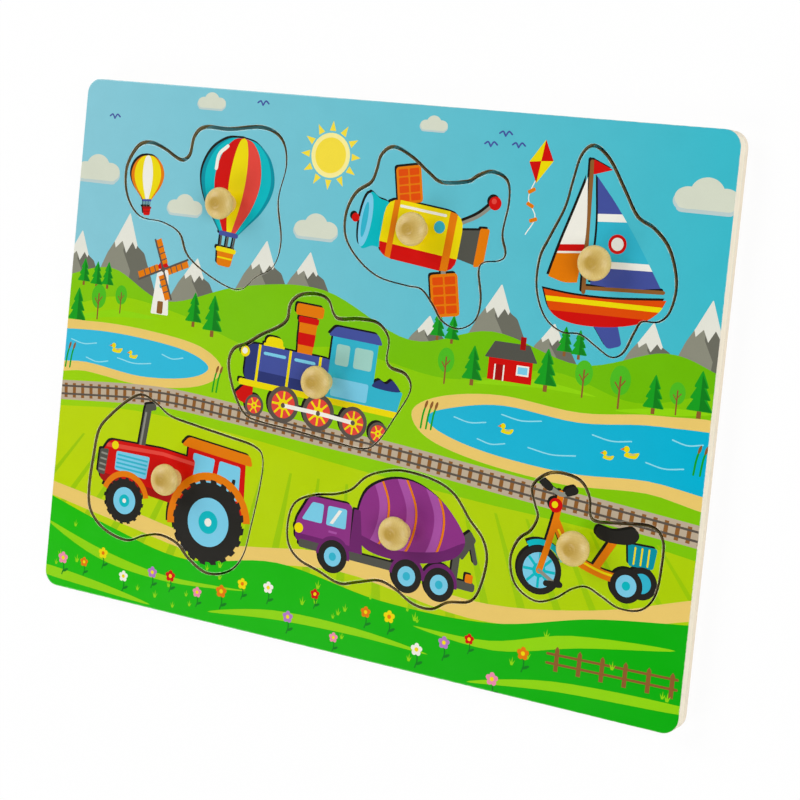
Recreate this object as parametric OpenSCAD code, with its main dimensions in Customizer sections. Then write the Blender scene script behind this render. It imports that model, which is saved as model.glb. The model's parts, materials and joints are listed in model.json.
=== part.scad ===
// Wooden peg puzzle: a shallow tray of backing board and cut-out frame board, and
// seven loose pieces that lift straight up out of their recesses by a turned knob.
// The tray lies on its back in the XY plane, its printed face up.
// The origin is the middle of the tray's underside, +Y the top of the picture.

/* [Tray] */
// Width of the tray, left to right
board_w = 300; // [240:1:400]
// Depth of the tray, bottom edge to top edge
board_d = 225; // [180:1:300]
// Radius of the tray's four corners
corner_r = 6.5; // [2:0.5:10]
// Thickness of the plywood that the frame and the loose pieces are cut from
panel_t = 5; // [3:0.5:8]
// Thickness of the backing board
backing_t = 3; // [2:0.5:6]
// Thickness of the varnished paper that carries the pictures
print_t = 0.2; // [0.1:0.05:0.4]

/* [Fit of the pieces] */
// Gap all round a piece that lies in the middle of its recess
recess_clearance = 1.05; // [0.6:0.05:1.8]

/* [Sizes of the pieces, as shares of the tray's width and depth] */
// Width of the balloons piece
balloons_w_share = 0.271; // [0.25:0.001:0.3]
// Depth of the balloons piece
balloons_d_share = 0.3; // [0.28:0.001:0.32]
// Width of the satellite piece
satellite_w_share = 0.24; // [0.22:0.001:0.26]
// Depth of the satellite piece
satellite_d_share = 0.301; // [0.28:0.001:0.33]
// Width of the yacht piece
yacht_w_share = 0.186; // [0.17:0.001:0.21]
// Depth of the yacht piece
yacht_d_share = 0.345; // [0.32:0.001:0.37]
// Width of the locomotive piece
locomotive_w_share = 0.288; // [0.27:0.001:0.31]
// Depth of the locomotive piece
locomotive_d_share = 0.26; // [0.24:0.001:0.28]
// Width of the tractor piece
tractor_w_share = 0.291; // [0.27:0.001:0.31]
// Depth of the tractor piece
tractor_d_share = 0.308; // [0.28:0.001:0.33]
// Width of the mixer piece
mixer_w_share = 0.303; // [0.28:0.001:0.32]
// Depth of the mixer piece
mixer_d_share = 0.231; // [0.21:0.001:0.25]
// Width of the tricycle piece
tricycle_w_share = 0.202; // [0.18:0.001:0.22]
// Depth of the tricycle piece
tricycle_d_share = 0.221; // [0.2:0.001:0.25]

/* [Knobs] */
// Widest diameter of the knob's head
knob_d = 13.5; // [10:0.5:18]
// Height of the knob above the printed face
knob_h = 10; // [8.5:0.5:14]
// Height of the neck, from the printed face to the head
neck_h = 3.6; // [2.4:0.1:4.6]
// Diameter of the flat on top of the head
flat_d = 5; // [3:0.5:7]
// Diameter of the neck where it meets the head
neck_d = 7.2; // [6.2:0.2:8]
// Diameter of the foot that stands on the printed face
foot_d = 8; // [7.4:0.2:12]
// Diameter of the shank that is glued into the piece
shank_d = 6; // [4:0.5:7]
// Thickness of the glue all round the shank
glue_t = 0.05; // [0.02:0.01:0.1]
// Distance from the shank's end to the underside of the piece
shank_inset = 0.6; // [0.2:0.1:1.5]

/* [Hidden] */

// How far a cut runs past the faces that it cuts
overrun = 1;
// Sides of a full circle
circle_sides = 64;
// Straight steps between two neighbouring points of a piece's outline
outline_steps = 5;
// Steps of the knob's neck and of its head, from the foot up
neck_steps = 5;
head_steps = 16;

// Heights of the layers, from the underside up
recess_print_z = backing_t;
panel_z = recess_print_z + print_t;
face_print_z = panel_z + panel_t;
face_z = face_print_z + print_t;

// Size of the tray in plan
tray_size = [board_w, board_d];

// Bore of the pieces, and the part of the shank that stands in it
bore_d = shank_d + 2 * glue_t;
shank_l = panel_t + print_t - shank_inset;

// Each piece has its size and the place of its recess in shares of the tray's size,
// the place of its knob and its outline in shares of its own size, and the way that
// it has slid in its recess in shares of the gap. The outline runs anticlockwise from
// the piece's top left.
balloons_outline_share = [
    [-0.44, 0.31], [-0.5, 0.17], [-0.48, 0], [-0.39, -0.12], [-0.24, -0.14],
    [-0.12, -0.2], [-0.05, -0.34], [0.13, -0.46], [0.28, -0.5], [0.37, -0.41],
    [0.47, -0.33], [0.5, -0.17], [0.46, 0.07], [0.49, 0.29], [0.45, 0.44],
    [0.33, 0.5], [0.13, 0.47], [-0.02, 0.47], [-0.08, 0.41], [-0.1, 0.29],
    [-0.16, 0.25], [-0.27, 0.31], [-0.36, 0.34],
];
satellite_outline_share = [
    [-0.24, 0.5], [-0.31, 0.45], [-0.33, 0.36], [-0.36, 0.28], [-0.45, 0.21],
    [-0.5, 0.09], [-0.49, -0.05], [-0.4, -0.17], [-0.26, -0.26], [-0.08, -0.29],
    [0.02, -0.3], [0.1, -0.38], [0.17, -0.47], [0.27, -0.5], [0.36, -0.44],
    [0.38, -0.32], [0.35, -0.16], [0.38, -0.1], [0.47, -0.08], [0.5, -0.04],
    [0.47, 0.07], [0.49, 0.25], [0.47, 0.37], [0.38, 0.41], [0.3, 0.38],
    [0.24, 0.34], [0.08, 0.32], [-0.01, 0.37], [-0.12, 0.45],
];
yacht_outline_share = [
    [-0.18, 0.5], [-0.26, 0.45], [-0.3, 0.33], [-0.34, 0.19], [-0.43, 0.04],
    [-0.49, -0.07], [-0.49, -0.22], [-0.41, -0.35], [-0.28, -0.41], [-0.14, -0.41],
    [-0.01, -0.46], [0.1, -0.5], [0.18, -0.47], [0.24, -0.37], [0.29, -0.31],
    [0.41, -0.3], [0.48, -0.24], [0.5, -0.11], [0.43, 0.04], [0.31, 0.13],
    [0.18, 0.18], [0.07, 0.3], [-0.06, 0.44],
];
locomotive_outline_share = [
    [-0.04, 0.5], [-0.13, 0.48], [-0.18, 0.41], [-0.19, 0.3], [-0.24, 0.23],
    [-0.33, 0.16], [-0.41, 0.08], [-0.48, 0.03], [-0.5, -0.08], [-0.46, -0.25],
    [-0.39, -0.4], [-0.3, -0.44], [-0.1, -0.46], [0.13, -0.49], [0.29, -0.5],
    [0.36, -0.43], [0.43, -0.26], [0.5, -0.06], [0.47, 0.04], [0.39, 0.07],
    [0.36, 0.13], [0.36, 0.27], [0.3, 0.36], [0.2, 0.37], [0.09, 0.35],
    [0.05, 0.39], [0.02, 0.47],
];
tractor_outline_share = [
    [-0.23, 0.5], [-0.31, 0.45], [-0.4, 0.35], [-0.47, 0.24], [-0.49, 0.07],
    [-0.5, -0.13], [-0.48, -0.27], [-0.39, -0.37], [-0.25, -0.41], [-0.15, -0.36],
    [-0.05, -0.33], [0.06, -0.36], [0.14, -0.44], [0.25, -0.5], [0.37, -0.46],
    [0.44, -0.35], [0.47, -0.16], [0.5, 0.1], [0.5, 0.25], [0.45, 0.31],
    [0.29, 0.34], [0.1, 0.37], [-0.05, 0.4], [-0.14, 0.46],
];
mixer_outline_share = [
    [0.07, 0.5], [-0.03, 0.47], [-0.12, 0.4], [-0.19, 0.28], [-0.27, 0.22],
    [-0.38, 0.18], [-0.47, 0.1], [-0.5, -0.04], [-0.49, -0.22], [-0.43, -0.33],
    [-0.32, -0.39], [-0.21, -0.45], [-0.12, -0.41], [-0.01, -0.36], [0.08, -0.4],
    [0.17, -0.48], [0.26, -0.49], [0.34, -0.41], [0.44, -0.37], [0.48, -0.26],
    [0.5, -0.04], [0.47, 0.11], [0.4, 0.23], [0.32, 0.39], [0.22, 0.47],
];
tricycle_outline_share = [
    [-0.23, 0.5], [-0.33, 0.46], [-0.4, 0.36], [-0.37, 0.24], [-0.34, 0.14],
    [-0.38, 0.02], [-0.46, -0.07], [-0.5, -0.23], [-0.45, -0.41], [-0.31, -0.5],
    [-0.18, -0.45], [-0.07, -0.35], [0.03, -0.31], [0.14, -0.36], [0.26, -0.42],
    [0.4, -0.4], [0.48, -0.27], [0.5, -0.03], [0.49, 0.14], [0.41, 0.22],
    [0.21, 0.2], [0.06, 0.18], [0, 0.22], [-0.02, 0.36], [-0.09, 0.47],
];

balloons_size_share = [balloons_w_share, balloons_d_share];
satellite_size_share = [satellite_w_share, satellite_d_share];
yacht_size_share = [yacht_w_share, yacht_d_share];
locomotive_size_share = [locomotive_w_share, locomotive_d_share];
tractor_size_share = [tractor_w_share, tractor_d_share];
mixer_size_share = [mixer_w_share, mixer_d_share];
tricycle_size_share = [tricycle_w_share, tricycle_d_share];

balloons_place_share = [-0.281, 0.284];
balloons_knob_share = [0.162, 0.019];
balloons_slid_share = [0.34, -0.56];
satellite_place_share = [0.078, 0.27];
satellite_knob_share = [-0.033, 0.043];
satellite_slid_share = [0.16, -0.46];
yacht_place_share = [0.342, 0.281];
yacht_knob_share = [-0.04, -0.056];
yacht_slid_share = [-0.08, -0.42];
locomotive_place_share = [-0.065, 0.011];
locomotive_knob_share = [0.04, -0.088];
locomotive_slid_share = [0.3, -0.36];
tractor_place_share = [-0.287, -0.252];
tractor_knob_share = [0.002, 0.028];
tractor_slid_share = [0.42, 0];
mixer_place_share = [0.065, -0.266];
mixer_knob_share = [0.082, 0.042];
mixer_slid_share = [-0.08, 0.06];
tricycle_place_share = [0.354, -0.214];
tricycle_knob_share = [-0.042, -0.021];
tricycle_slid_share = [0.04, -0.28];

balloons = [
    balloons_size_share, balloons_place_share, balloons_knob_share, balloons_outline_share,
    balloons_slid_share
];
satellite = [
    satellite_size_share, satellite_place_share, satellite_knob_share, satellite_outline_share,
    satellite_slid_share
];
yacht = [
    yacht_size_share, yacht_place_share, yacht_knob_share, yacht_outline_share,
    yacht_slid_share
];
locomotive = [
    locomotive_size_share, locomotive_place_share, locomotive_knob_share, locomotive_outline_share,
    locomotive_slid_share
];
tractor = [
    tractor_size_share, tractor_place_share, tractor_knob_share, tractor_outline_share,
    tractor_slid_share
];
mixer = [
    mixer_size_share, mixer_place_share, mixer_knob_share, mixer_outline_share,
    mixer_slid_share
];
tricycle = [
    tricycle_size_share, tricycle_place_share, tricycle_knob_share, tricycle_outline_share,
    tricycle_slid_share
];
pieces = [balloons, satellite, yacht, locomotive, tractor, mixer, tricycle];

// Colours of the bare wood and of the printed paper
backing_colour = "tan";
panel_colour = "burlywood";
knob_colour = "wheat";

// A share of a size along X and along Y
function of_size(share, size) = [share.x * size.x, share.y * size.y];

// Size of a piece, middle of its recess, and middle of the piece as it lies there
function piece_size(piece) = of_size(piece[0], tray_size);
function recess_centre(piece) = of_size(piece[1], tray_size);
function piece_centre(piece) = recess_centre(piece) + recess_clearance * piece[4];

// Place of a piece's knob
function knob_centre(piece) = piece_centre(piece) + of_size(piece[2], piece_size(piece));

// Point at share t of the way from b to c on a smooth curve through a, b, c and d
function smooth_point(a, b, c, d, t) =
    b + t * (c - a) / 2
    + pow(t, 2) * (2 * a - 5 * b + 4 * c - d) / 2
    + pow(t, 3) * (3 * b - a - 3 * c + d) / 2;

// Closed smooth curve through every point of a list
function smooth_loop(p) = let (n = len(p)) [
    for (i = [0 : n - 1])
        for (j = [0 : outline_steps - 1])
            smooth_point(p[(i + n - 1) % n], p[i], p[(i + 1) % n], p[(i + 2) % n], j / outline_steps)
];

// Outward direction at one point of an anticlockwise loop
function outward(p, i) =
    let (n = len(p), along = p[(i + 1) % n] - p[(i + n - 1) % n]) [along.y, -along.x] / norm(along);

// The same loop moved outwards by a distance
function grown_loop(p, by) = [for (i = [0 : len(p) - 1]) p[i] + by * outward(p, i)];

// Outline of a piece about its own middle, and of its recess
function piece_loop(piece) = smooth_loop([for (s = piece[3]) of_size(s, piece_size(piece))]);
function recess_loop(piece) = grown_loop(piece_loop(piece), recess_clearance);

// Half-profile of a knob above its foot: a hollow neck, then an oval head with a flat top.
// The head's half height fills what the neck leaves of the knob's height.
neck_r = neck_d / 2;
head_r = knob_d / 2;
flat_r = flat_d / 2;
above_middle = sqrt(1 - pow(flat_r / head_r, 2));
below_middle = sqrt(1 - pow(neck_r / head_r, 2));
head_rise = (knob_h - neck_h) / (above_middle + below_middle);
head_z = neck_h + head_rise * below_middle;
neck_flare = foot_d / 2 - neck_r;
head_from = -acos(neck_r / head_r);
head_to = acos(flat_r / head_r);
neck_curve = [
    for (i = [0 : neck_steps - 1])
        [neck_r + neck_flare * (1 + cos(180 * i / neck_steps)) / 2, neck_h * i / neck_steps]
];
head_curve = [
    for (i = [0 : head_steps])
        let (a = head_from + (head_to - head_from) * i / head_steps)
            [head_r * cos(a), head_z + head_rise * sin(a)]
];

module rounded_sheet(z, t) {
    translate([0, 0, z])
        linear_extrude(t)
            union() {
                square([board_w - 2 * corner_r, board_d], center = true);
                square([board_w, board_d - 2 * corner_r], center = true);
                for (x = [-1, 1])
                    for (y = [-1, 1])
                        translate([x * (board_w / 2 - corner_r), y * (board_d / 2 - corner_r)])
                            circle(r = corner_r, $fn = circle_sides);
            }
}

module cut_sheet(z, t) {
    difference() {
        rounded_sheet(z, t);
        for (piece = pieces)
            translate(concat(recess_centre(piece), z - overrun))
                linear_extrude(t + 2 * overrun)
                    polygon(recess_loop(piece));
    }
}

module piece_layer(piece, z, t) {
    difference() {
        translate(concat(piece_centre(piece), z))
            linear_extrude(t)
                polygon(piece_loop(piece));
        translate(concat(knob_centre(piece), z - overrun))
            cylinder(h = t + 2 * overrun, d = bore_d, $fn = circle_sides);
    }
}

module plate(piece) {
    color(panel_colour)
        piece_layer(piece, panel_z, panel_t);
}

module picture(piece, paper) {
    color(paper)
        piece_layer(piece, face_print_z, print_t);
}

module knob(piece) {
    color(knob_colour)
        translate(concat(knob_centre(piece), face_z))
            rotate_extrude($fn = circle_sides)
                polygon(concat(
                    [[0, -shank_l], [shank_d / 2, -shank_l], [shank_d / 2, 0]],
                    neck_curve,
                    head_curve,
                    [[0, knob_h]]
                ));
}

module backing_board() {
    color(backing_colour)
        rounded_sheet(0, backing_t);
}

module recess_print() {
    color("palegreen")
        rounded_sheet(recess_print_z, print_t);
}

module frame_board() {
    color(panel_colour)
        cut_sheet(panel_z, panel_t);
}

module face_print() {
    color("mediumturquoise")
        cut_sheet(face_print_z, print_t);
}

module balloons_plate() { plate(balloons); }
module balloons_print() { picture(balloons, "tomato"); }
module balloons_knob() { knob(balloons); }
module satellite_plate() { plate(satellite); }
module satellite_print() { picture(satellite, "gold"); }
module satellite_knob() { knob(satellite); }
module yacht_plate() { plate(yacht); }
module yacht_print() { picture(yacht, "royalblue"); }
module yacht_knob() { knob(yacht); }
module locomotive_plate() { plate(locomotive); }
module locomotive_print() { picture(locomotive, "slateblue"); }
module locomotive_knob() { knob(locomotive); }
module tractor_plate() { plate(tractor); }
module tractor_print() { picture(tractor, "red"); }
module tractor_knob() { knob(tractor); }
module mixer_plate() { plate(mixer); }
module mixer_print() { picture(mixer, "purple"); }
module mixer_knob() { knob(mixer); }
module tricycle_plate() { plate(tricycle); }
module tricycle_print() { picture(tricycle, "orange"); }
module tricycle_knob() { knob(tricycle); }

backing_board();
recess_print();
frame_board();
face_print();
balloons_plate();
balloons_print();
balloons_knob();
satellite_plate();
satellite_print();
satellite_knob();
yacht_plate();
yacht_print();
yacht_knob();
locomotive_plate();
locomotive_print();
locomotive_knob();
tractor_plate();
tractor_print();
tractor_knob();
mixer_plate();
mixer_print();
mixer_knob();
tricycle_plate();
tricycle_print();
tricycle_knob();
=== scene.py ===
# %% [markdown]
# # A wooden peg puzzle
# A puzzle for small children: a flat tray with a printed picture, and seven loose pieces that lie
# in recesses of their own shape and are lifted out by turned wooden knobs.
#
# The boards, the papers and the knobs come from an exact model, so their sizes and places are
# settled before Blender opens. This lesson gives them their looks: it prints the picture on the
# papers as real coloured areas of mesh, turns the knobs finely, and makes plywood, fibreboard
# and varnished paper as materials.

import json
import math
from itertools import chain

import bpy
import numpy as np
from mathutils import Matrix, Vector
from mathutils.geometry import delaunay_2d_cdt


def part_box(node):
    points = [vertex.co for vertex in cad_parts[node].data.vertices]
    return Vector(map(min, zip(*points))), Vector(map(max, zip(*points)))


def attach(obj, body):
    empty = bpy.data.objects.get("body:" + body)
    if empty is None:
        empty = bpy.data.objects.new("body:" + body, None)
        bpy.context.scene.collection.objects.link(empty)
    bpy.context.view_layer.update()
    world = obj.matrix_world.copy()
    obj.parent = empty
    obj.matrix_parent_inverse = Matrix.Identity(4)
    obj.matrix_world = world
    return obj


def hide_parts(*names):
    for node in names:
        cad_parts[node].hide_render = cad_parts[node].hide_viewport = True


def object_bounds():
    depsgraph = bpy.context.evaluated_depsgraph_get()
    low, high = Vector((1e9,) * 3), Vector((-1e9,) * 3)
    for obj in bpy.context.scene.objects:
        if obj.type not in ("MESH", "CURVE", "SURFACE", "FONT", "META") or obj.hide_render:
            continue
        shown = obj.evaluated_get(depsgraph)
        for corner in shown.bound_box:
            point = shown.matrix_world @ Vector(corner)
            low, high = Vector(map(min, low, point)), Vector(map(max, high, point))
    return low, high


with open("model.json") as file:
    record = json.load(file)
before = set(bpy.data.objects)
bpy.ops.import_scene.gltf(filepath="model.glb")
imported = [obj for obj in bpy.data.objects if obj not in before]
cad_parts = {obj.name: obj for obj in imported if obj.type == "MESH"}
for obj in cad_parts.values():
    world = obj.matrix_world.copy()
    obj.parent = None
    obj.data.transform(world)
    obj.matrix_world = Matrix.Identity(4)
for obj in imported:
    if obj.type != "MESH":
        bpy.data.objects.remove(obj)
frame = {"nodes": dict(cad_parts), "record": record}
CAD_LOW, CAD_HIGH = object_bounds()
MM = 0.001
FIGURES = ("balloons", "satellite", "yacht", "locomotive", "tractor", "mixer", "tricycle")
TRAY = np.array(CAD_HIGH - CAD_LOW)[:2] / MM
FACE_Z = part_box("face_print")[1].z / MM
print("tray", TRAY.round(1), "mm, printed face at", round(FACE_Z, 2), "mm")
print(len(frame["nodes"]), "solids in the exact model")

# %% [markdown]
# ## The camera
# The tray lies flat and the camera looks down on it from the right. A camera could be placed by
# eye, but the four corners of a flat rectangle tell everything: where the lens was, what it aimed
# at and how long it was. The values below are that answer, in millimetres from the middle of the
# printed face. The lens is turned a little about its own axis because the tray hangs askew, and
# the frame is shifted down by 0.15 of its width because the picture was cropped off its middle.

# %% The camera
LENS_AT = Vector((379.1, 86.7, 664.5))
AIM = Vector((14.8, 42.2, 0.0))
ROLL = math.radians(5.65)
SHIFT = -0.15
IMAGE_PIXELS = 800
FOCAL_PIXELS = 1900
SENSOR_WIDTH = 36
NEAREST_SEEN = 0.01


def look_rotation(start, end, roll=0.0):
    """Columns are the camera's right, up and back. Back points away from the aim, right is level,
    and both right and up are then turned about the line of sight by the roll."""
    back = (start - end).normalized()
    right = Vector((0, 1, 0)).cross(back).normalized()
    up = back.cross(right)
    level = Matrix((right, up, back)).transposed()
    return level @ Matrix.Rotation(roll, 3, "Z")


def in_scene(name, data):
    """A new object of this data, linked into the scene."""
    made = bpy.data.objects.new(name, data)
    bpy.context.collection.objects.link(made)
    return made


camera_data = bpy.data.cameras.new("camera")
camera_data.sensor_width = SENSOR_WIDTH
camera_data.lens = SENSOR_WIDTH * FOCAL_PIXELS / IMAGE_PIXELS
camera_data.shift_y = SHIFT
camera_data.clip_start = NEAREST_SEEN
camera = in_scene("camera", camera_data)
face_middle = Vector((0, 0, FACE_Z))
turn = look_rotation(LENS_AT, AIM, ROLL).to_4x4()
camera.matrix_world = Matrix.Translation((LENS_AT + face_middle) * MM) @ turn
bpy.context.scene.camera = camera
lens_place = [round(v, 3) for v in camera.matrix_world.translation]
print("lens of", round(camera_data.lens, 1), "mm at", lens_place)

# %% [markdown]
# ## Light and floor
# A plain soft studio: three broad lamps round the tray, and a world that is bright all round the
# horizon and dim overhead, as in a light tent. An evenly bright world would do for the level, but
# the varnish would mirror its top and the deep inks would turn milky. The bright horizon lights
# the tray's edges and the sides of the knobs instead.
#
# The floor is white paper. For the camera, and in reflections, part of its white is a colour of
# its own and not light, so the ground stays as pale as in a catalogue picture while the tray
# keeps a shadow.

# %% Lamps
LAMP_SIZE = 1.1
LAMPS = {"lamp_left_above": ((-1.35, 0.85, 1.2), 20), "lamp_left_below": ((-1.1, -1.25, 1.2), 17),
         "lamp_right": ((1.3, 0.1, 1.25), 19)}

for name, (place, watts) in LAMPS.items():
    data = bpy.data.lights.new(name, "AREA")
    data.size = LAMP_SIZE
    data.energy = watts
    turn = look_rotation(Vector(place), Vector()).to_4x4()
    in_scene(name, data).matrix_world = Matrix.Translation(place) @ turn
    print(name, "of", watts, "W at", place, "m")

# %% World
HORIZON_STRENGTH, ZENITH_STRENGTH = 1.0, 0.06
DIMS_BETWEEN = (0.15, 0.55)
WHITE = (1, 1, 1, 1)


def feed(tree, node, inputs):
    """Gives a node its inputs by name or number. A value is set, and a socket is linked."""
    for key, value in inputs.items():
        if isinstance(value, bpy.types.NodeSocket):
            tree.links.new(value, node.inputs[key])
        else:
            node.inputs[key].default_value = value
    return node


def add_node(tree, kind, inputs=None, **settings):
    """Adds a shader node with its settings and inputs."""
    made = tree.nodes.new(kind)
    for key, value in settings.items():
        setattr(made, key, value)
    return feed(tree, made, inputs or {})


def worked_out(tree, operation, *values):
    """Result of a Math node on values or sockets."""
    return add_node(tree, "ShaderNodeMath", dict(enumerate(values)), operation=operation).outputs[0]


def ranged(tree, value, source, target=(0.0, 1.0)):
    """The value carried from the source range to the target range, held at the ends."""
    inputs = {"Value": value, "From Min": source[0], "From Max": source[1], "To Min": target[0],
              "To Max": target[1]}
    return add_node(tree, "ShaderNodeMapRange", inputs).outputs[0]


def upward_part(tree, vector):
    """Third part of a vector."""
    return add_node(tree, "ShaderNodeSeparateXYZ", {0: vector}).outputs["Z"]


world = bpy.data.worlds.new("studio")
bpy.context.scene.world = world
world.use_nodes = True
tree = world.node_tree
height = upward_part(tree, add_node(tree, "ShaderNodeTexCoord").outputs["Generated"])
strength = ranged(tree, height, DIMS_BETWEEN, (HORIZON_STRENGTH, ZENITH_STRENGTH))
feed(tree, tree.nodes["Background"], {"Color": WHITE, "Strength": strength})
bpy.context.scene.view_settings.view_transform = "Standard"
print("world of strength", HORIZON_STRENGTH, "at the horizon and", ZENITH_STRENGTH, "overhead")

# %% Floor
FLOOR_SIZE = 6.0
FLOOR_DROP = 0.0002
FLOOR_GRAIN = 300.0
FLOOR_TONES = (0.9, 0.94)
OWN_WHITE = 0.92

floor_material = bpy.data.materials.new("floor_paper")
floor_material.use_nodes = True
tree = floor_material.node_tree
tree.nodes.clear()
ray = add_node(tree, "ShaderNodeLightPath").outputs
seen = worked_out(tree, "MAXIMUM", ray["Is Camera Ray"], ray["Is Glossy Ray"])
seen = worked_out(tree, "MAXIMUM", seen, ray["Is Transmission Ray"])
share = worked_out(tree, "MULTIPLY", seen, OWN_WHITE)
fibre = add_node(tree, "ShaderNodeTexNoise", {"Scale": FLOOR_GRAIN}).outputs["Fac"]
paper = add_node(tree, "ShaderNodeBsdfDiffuse", {"Color": ranged(tree, fibre, (0.0, 1.0), FLOOR_TONES)})
glow = add_node(tree, "ShaderNodeEmission", {"Color": WHITE, "Strength": 1.0})
mixed = add_node(tree, "ShaderNodeMixShader", {0: share, 1: paper.outputs[0], 2: glow.outputs[0]})
add_node(tree, "ShaderNodeOutputMaterial", {"Surface": mixed.outputs[0]})

side = FLOOR_SIZE / 2
corners = [(x * side, y * side, -FLOOR_DROP) for x, y in ((-1, -1), (1, -1), (1, 1), (-1, 1))]
floor_mesh = bpy.data.meshes.new("floor")
floor_mesh.from_pydata(corners, [], [(0, 1, 2, 3)])
floor_mesh.materials.append(floor_material)
floor = in_scene("floor", floor_mesh)
print("floor of", FLOOR_SIZE, "by", FLOOR_SIZE, "m")

# %% [markdown]
# ## Drawing with outlines
# The picture is printed, so it is flat areas of ink with sharp borders. An image texture would
# be one way to carry it, but here each area is drawn as an outline in millimetres and later cut
# into the paper's own mesh. The borders then stay sharp at any distance. Every helper returns a
# whole array of points, and a drawing is a list of (ink, outline, mask), back to front, where a
# mask is a second outline that the area may not leave.

# %% Smooth lines and rounded shapes
MOST_OF_EDGE = 0.45


def smooth_points(p, steps):
    """Points between the second and the third of every four neighbours a, b, c, d: b, plus t times
    half of c - a, plus the square and cube terms that make the neighbouring stretches meet."""
    t = (np.arange(steps) / steps)[None, :, None]
    a, b, c, d = (p[k : len(p) - 3 + k][:, None, :] for k in range(4))
    curve = b + t * (c - a) / 2
    curve = curve + t**2 * (2 * a - 5 * b + 4 * c - d) / 2
    curve = curve + t**3 * (3 * b - a - 3 * c + d) / 2
    return curve.reshape(-1, 2)


def loop(*points, steps=6):
    """Closed smooth curve through all the points."""
    p = np.array(points, float)
    return smooth_points(np.vstack([p[-1:], p, p[:2]]), steps)


def path(*points, steps=6):
    """Open smooth curve from the first point to the last. Two points stay a straight line."""
    p = np.array(points, float)
    if len(p) == 2:
        return p
    longer = np.vstack([2 * p[0] - p[1], p, 2 * p[-1] - p[-2]])
    return np.vstack([smooth_points(longer, steps), p[-1:]])


def shape(*points, r=0.0, steps=5):
    """Polygon whose corners are rounded: each corner becomes a short bent line that starts and
    ends at the distance r from it, but within MOST_OF_EDGE of the edge, and is a weighted mean
    of its start, the corner and its end."""
    p = np.array(points, float)
    if r <= 0:
        return p
    back = np.roll(p, 1, axis=0) - p
    on = np.roll(p, -1, axis=0) - p
    start = p + back * np.minimum(r / np.linalg.norm(back, axis=1, keepdims=True), MOST_OF_EDGE)
    end = p + on * np.minimum(r / np.linalg.norm(on, axis=1, keepdims=True), MOST_OF_EDGE)
    t = np.linspace(0, 1, steps)[None, :, None]
    bent = (1 - t) ** 2 * start[:, None] + 2 * t * (1 - t) * p[:, None] + t**2 * end[:, None]
    return bent.reshape(-1, 2)


def turned(points, degrees, about=(0, 0)):
    """The points turned anticlockwise about a point."""
    a = math.radians(degrees)
    matrix = np.array([[math.cos(a), math.sin(a)], [-math.sin(a), math.cos(a)]])
    return (np.asarray(points) - about) @ matrix + about


def block(x, y, w, h, r=0.0, turn=0):
    """Rectangle about its middle, with rounded corners."""
    a, b = w / 2, h / 2
    outline = shape((x - a, y - b), (x + a, y - b), (x + a, y + b), (x - a, y + b), r=r)
    return turned(outline, turn, (x, y))


def arc(x, y, r, start, end, steps=24):
    """Points on a circle from one angle to another, in degrees."""
    a = np.radians(np.linspace(start, end, steps))
    return np.stack([x + r * np.cos(a), y + r * np.sin(a)], 1)


def oval(x, y, w, h=None, turn=0, sides=36):
    """Ellipse of width w and height h, or a circle."""
    circle = arc(0, 0, 1, 0, 360, sides + 1)[:-1]
    return turned(circle * (w / 2, (h or w) / 2) + (x, y), turn, (x, y))


def arch(x, y, inner, outer, start, end):
    """Ring sector between two radii."""
    return np.vstack([arc(x, y, outer, start, end), arc(x, y, inner, end, start)])


def band(width, *points, steps=6):
    """Stroke of even width along a smooth line, with round ends: the line is moved half the width
    to each side, across its direction, and the two sides are joined by half circles."""
    line = path(*points, steps=steps)
    along = np.gradient(line, axis=0)
    along /= np.linalg.norm(along, axis=1, keepdims=True)
    side = np.stack([-along[:, 1], along[:, 0]], 1) * width / 2
    first, last = (np.degrees(np.arctan2(v[1], v[0])) for v in (side[0], side[-1]))
    start_cap = arc(*line[0], width / 2, first, first + 180, 7)[1:-1]
    end_cap = arc(*line[-1], width / 2, last + 180, last + 360, 7)[1:-1]
    return np.vstack([(line + side)[::-1], start_cap, line - side, end_cap])


print("a block with round corners has", len(block(0, 0, 10, 6, r=1)), "points")
print("a circle has", len(oval(0, 0, 5)), "points")

# %% Drawings
def ink(name, *outlines):
    """Areas of one ink."""
    return [(name, outline, None) for outline in outlines]


def discs(x, y, *rows):
    """Round areas about one middle, each (ink, diameter) over the one before."""
    return [(name, oval(x, y, width), None) for name, width in rows]


def within(mask, drawing):
    """The drawing, kept inside an outline."""
    return [(name, outline, mask) for name, outline, _ in drawing]


def filled(name, outline, *drawings):
    """An area of one ink, with drawings on it that may not leave it."""
    return ink(name, outline) + within(outline, sum(drawings, []))


def placed(drawing, dx=0.0, dy=0.0, turn=0.0, size=1.0):
    """The drawing turned, then made larger or smaller, then moved."""
    def moved(outline):
        return None if outline is None else turned(outline, turn) * size + (dx, dy)
    return [(name, moved(outline), moved(mask)) for name, outline, mask in drawing]


def shaded(drawing, dx=-0.9, dy=0.8):
    """The drawing over a black copy of itself that is moved to the upper left, as a thick line
    that shows on two sides only."""
    behind = [("shadow", outline, mask) for _, outline, mask in placed(drawing, dx, dy)]
    return behind + drawing


print("a drawing of two discs:", [area[0] for area in discs(0, 0, ("red", 7), ("white", 5))])

# %% [markdown]
# ## Inks
# The real print keeps to about twenty flat, bright inks. Two or three of them run softly from
# one tone to another across the tray, such as the sky. The tones are written as a designer
# would, and turned into the linear values that Blender's shaders work in.

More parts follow.
